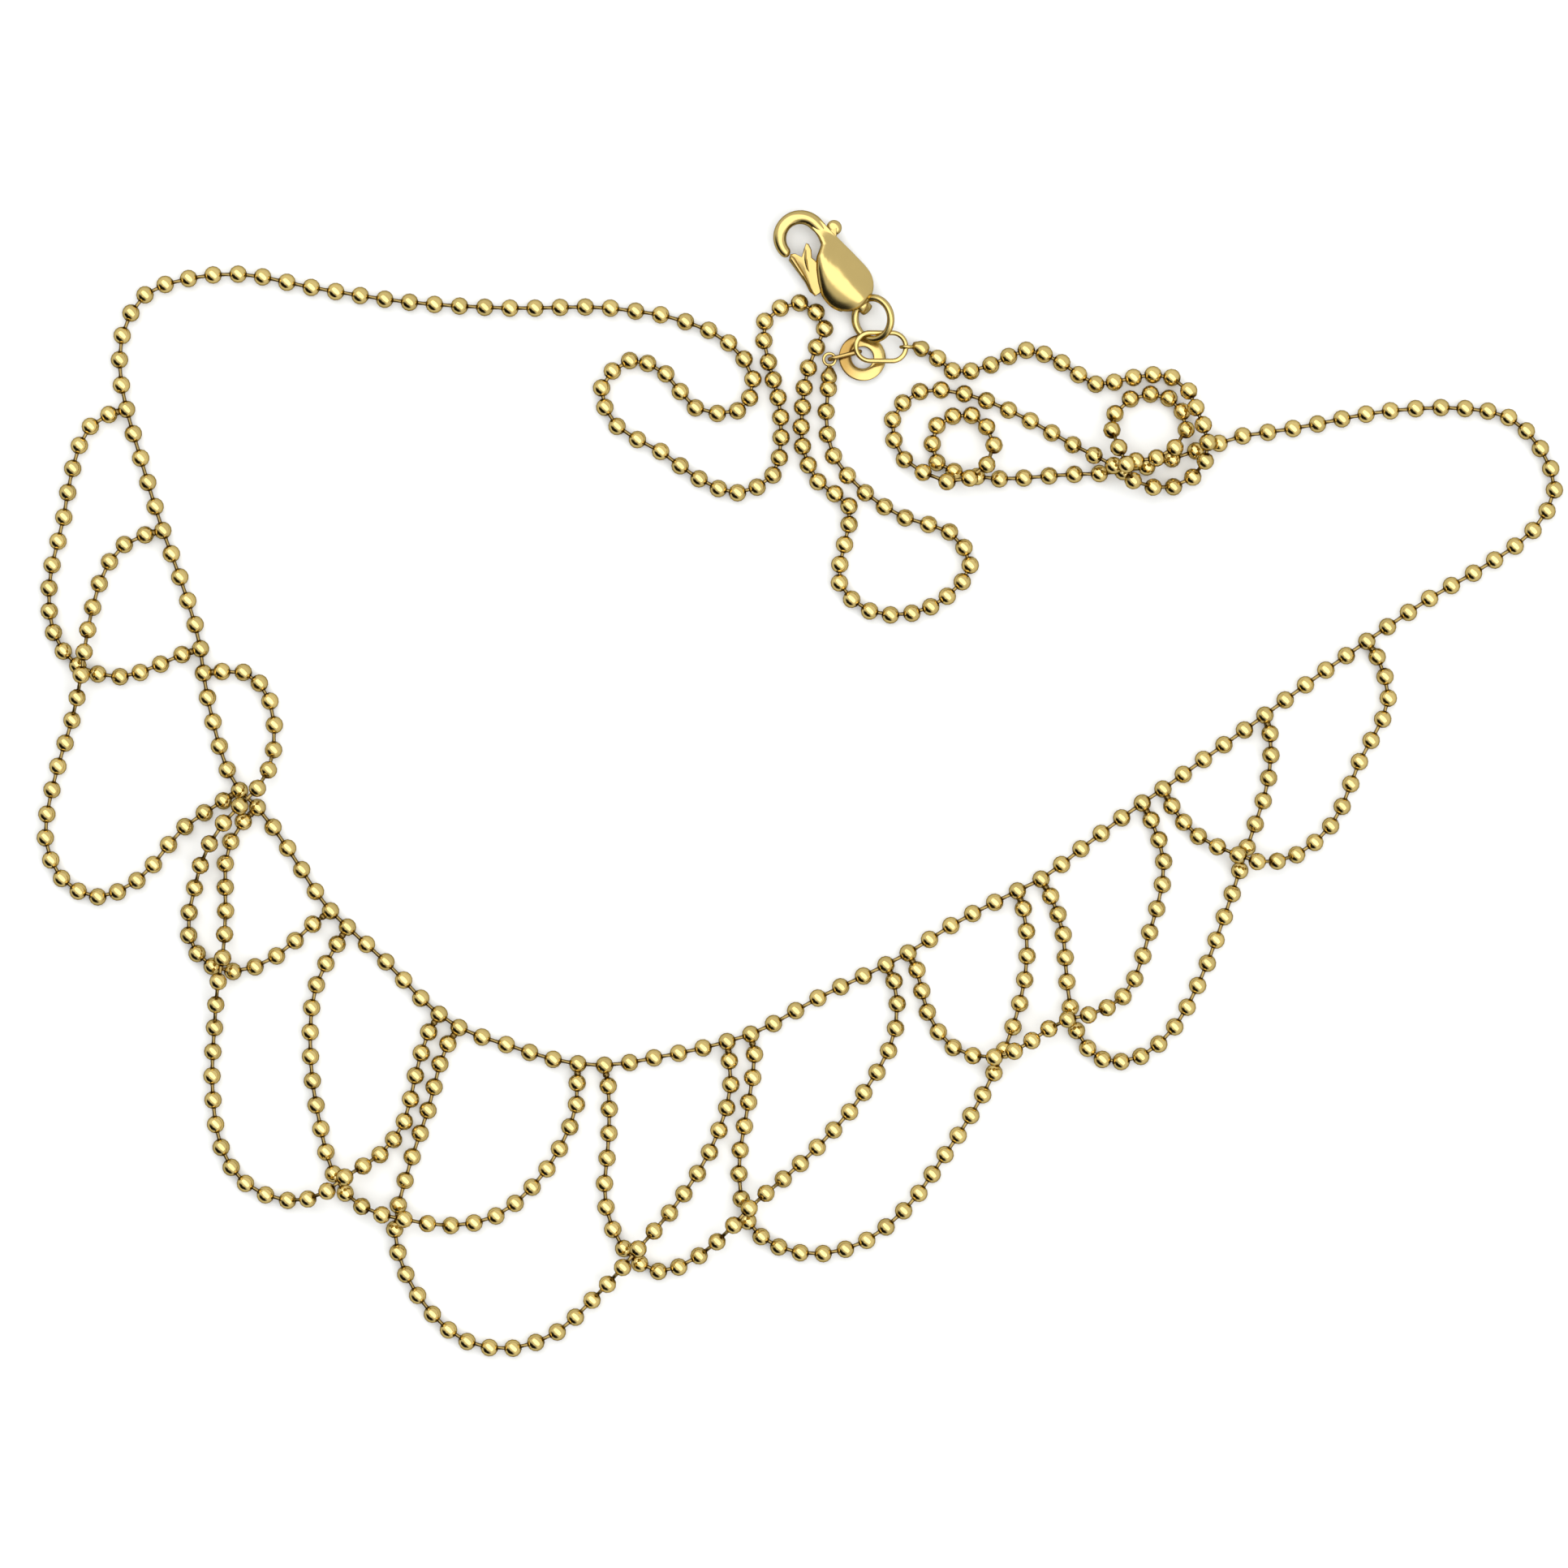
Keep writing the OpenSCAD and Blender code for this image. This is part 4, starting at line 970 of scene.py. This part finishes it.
class NecklaceNeckChain(bpy.types.Operator):
    """Adds the drilled beads and the wire of the neck chain's front and sides"""
    bl_idname = "necklace.neck_chain"
    bl_label = "Neck chain"

    def execute(self, context):
        neck_chain(settings(context))
        return {"FINISHED"}


class NecklaceChainEnds(bpy.types.Operator):
    """Adds the beads and links of the two coiled ends of the neck chain"""
    bl_idname = "necklace.chain_ends"
    bl_label = "Chain ends"

    def execute(self, context):
        chain_ends(settings(context))
        return {"FINISHED"}


class NecklaceSwags(bpy.types.Operator):
    """Adds the beads, links and solder of the eleven swags"""
    bl_idname = "necklace.swags"
    bl_label = "Swags"

    def execute(self, context):
        swags(settings(context))
        return {"FINISHED"}


class NecklaceClaspBody(bpy.types.Operator):
    """Adds the clasp's pillow-shaped body with its hook and lug"""
    bl_idname = "necklace.clasp_body"
    bl_label = "Clasp body"

    def execute(self, context):
        clasp_body(settings(context))
        return {"FINISHED"}


class NecklaceClaspLever(bpy.types.Operator):
    """Adds the sprung lever with its thumb knob"""
    bl_idname = "necklace.clasp_lever"
    bl_label = "Clasp lever"

    def execute(self, context):
        clasp_lever(settings(context))
        return {"FINISHED"}


class NecklaceRings(bpy.types.Operator):
    """Adds the round, oval and flat rings and the small link"""
    bl_idname = "necklace.rings"
    bl_label = "Rings"

    def execute(self, context):
        rings(settings(context))
        return {"FINISHED"}


class NecklaceCaps(bpy.types.Operator):
    """Adds the looped caps on both ends of the chain"""
    bl_idname = "necklace.caps"
    bl_label = "End caps"

    def execute(self, context):
        caps(settings(context))
        return {"FINISHED"}


class NecklaceStage(bpy.types.Operator):
    """Adds the pale table, the studio light and the camera straight above"""
    bl_idname = "necklace.stage"
    bl_label = "Stage"

    def execute(self, context):
        stage(settings(context))
        return {"FINISHED"}


STEPS = (NecklaceNeckChain, NecklaceChainEnds, NecklaceSwags, NecklaceClaspBody,
    NecklaceClaspLever, NecklaceRings, NecklaceCaps, NecklaceStage)


class NecklacePanel(bpy.types.Panel):
    """Lists the necklace's sizes, colours and pieces"""
    bl_idname = "VIEW3D_PT_necklace"
    bl_label = "Necklace"
    bl_space_type = "VIEW_3D"
    bl_region_type = "UI"
    bl_category = "Necklace"

    def draw(self, context):
        for name in NecklaceSettings.__annotations__:
            self.layout.prop(settings(context), name)
        for step in STEPS:
            self.layout.operator(step.bl_idname)


CLASSES = (NecklaceSettings,) + STEPS + (NecklacePanel,)


def register():
    for c in CLASSES:
        bpy.utils.register_class(c)
    bpy.types.Scene.necklace = bpy.props.PointerProperty(type=NecklaceSettings)


def unregister():
    del bpy.types.Scene.necklace
    for c in reversed(CLASSES):
        bpy.utils.unregister_class(c)


def main():
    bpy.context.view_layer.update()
    register()
    for step in STEPS:
        group, name = step.bl_idname.split(".")
        getattr(getattr(bpy.ops, group), name)()


if __name__ == "__main__":
    main()
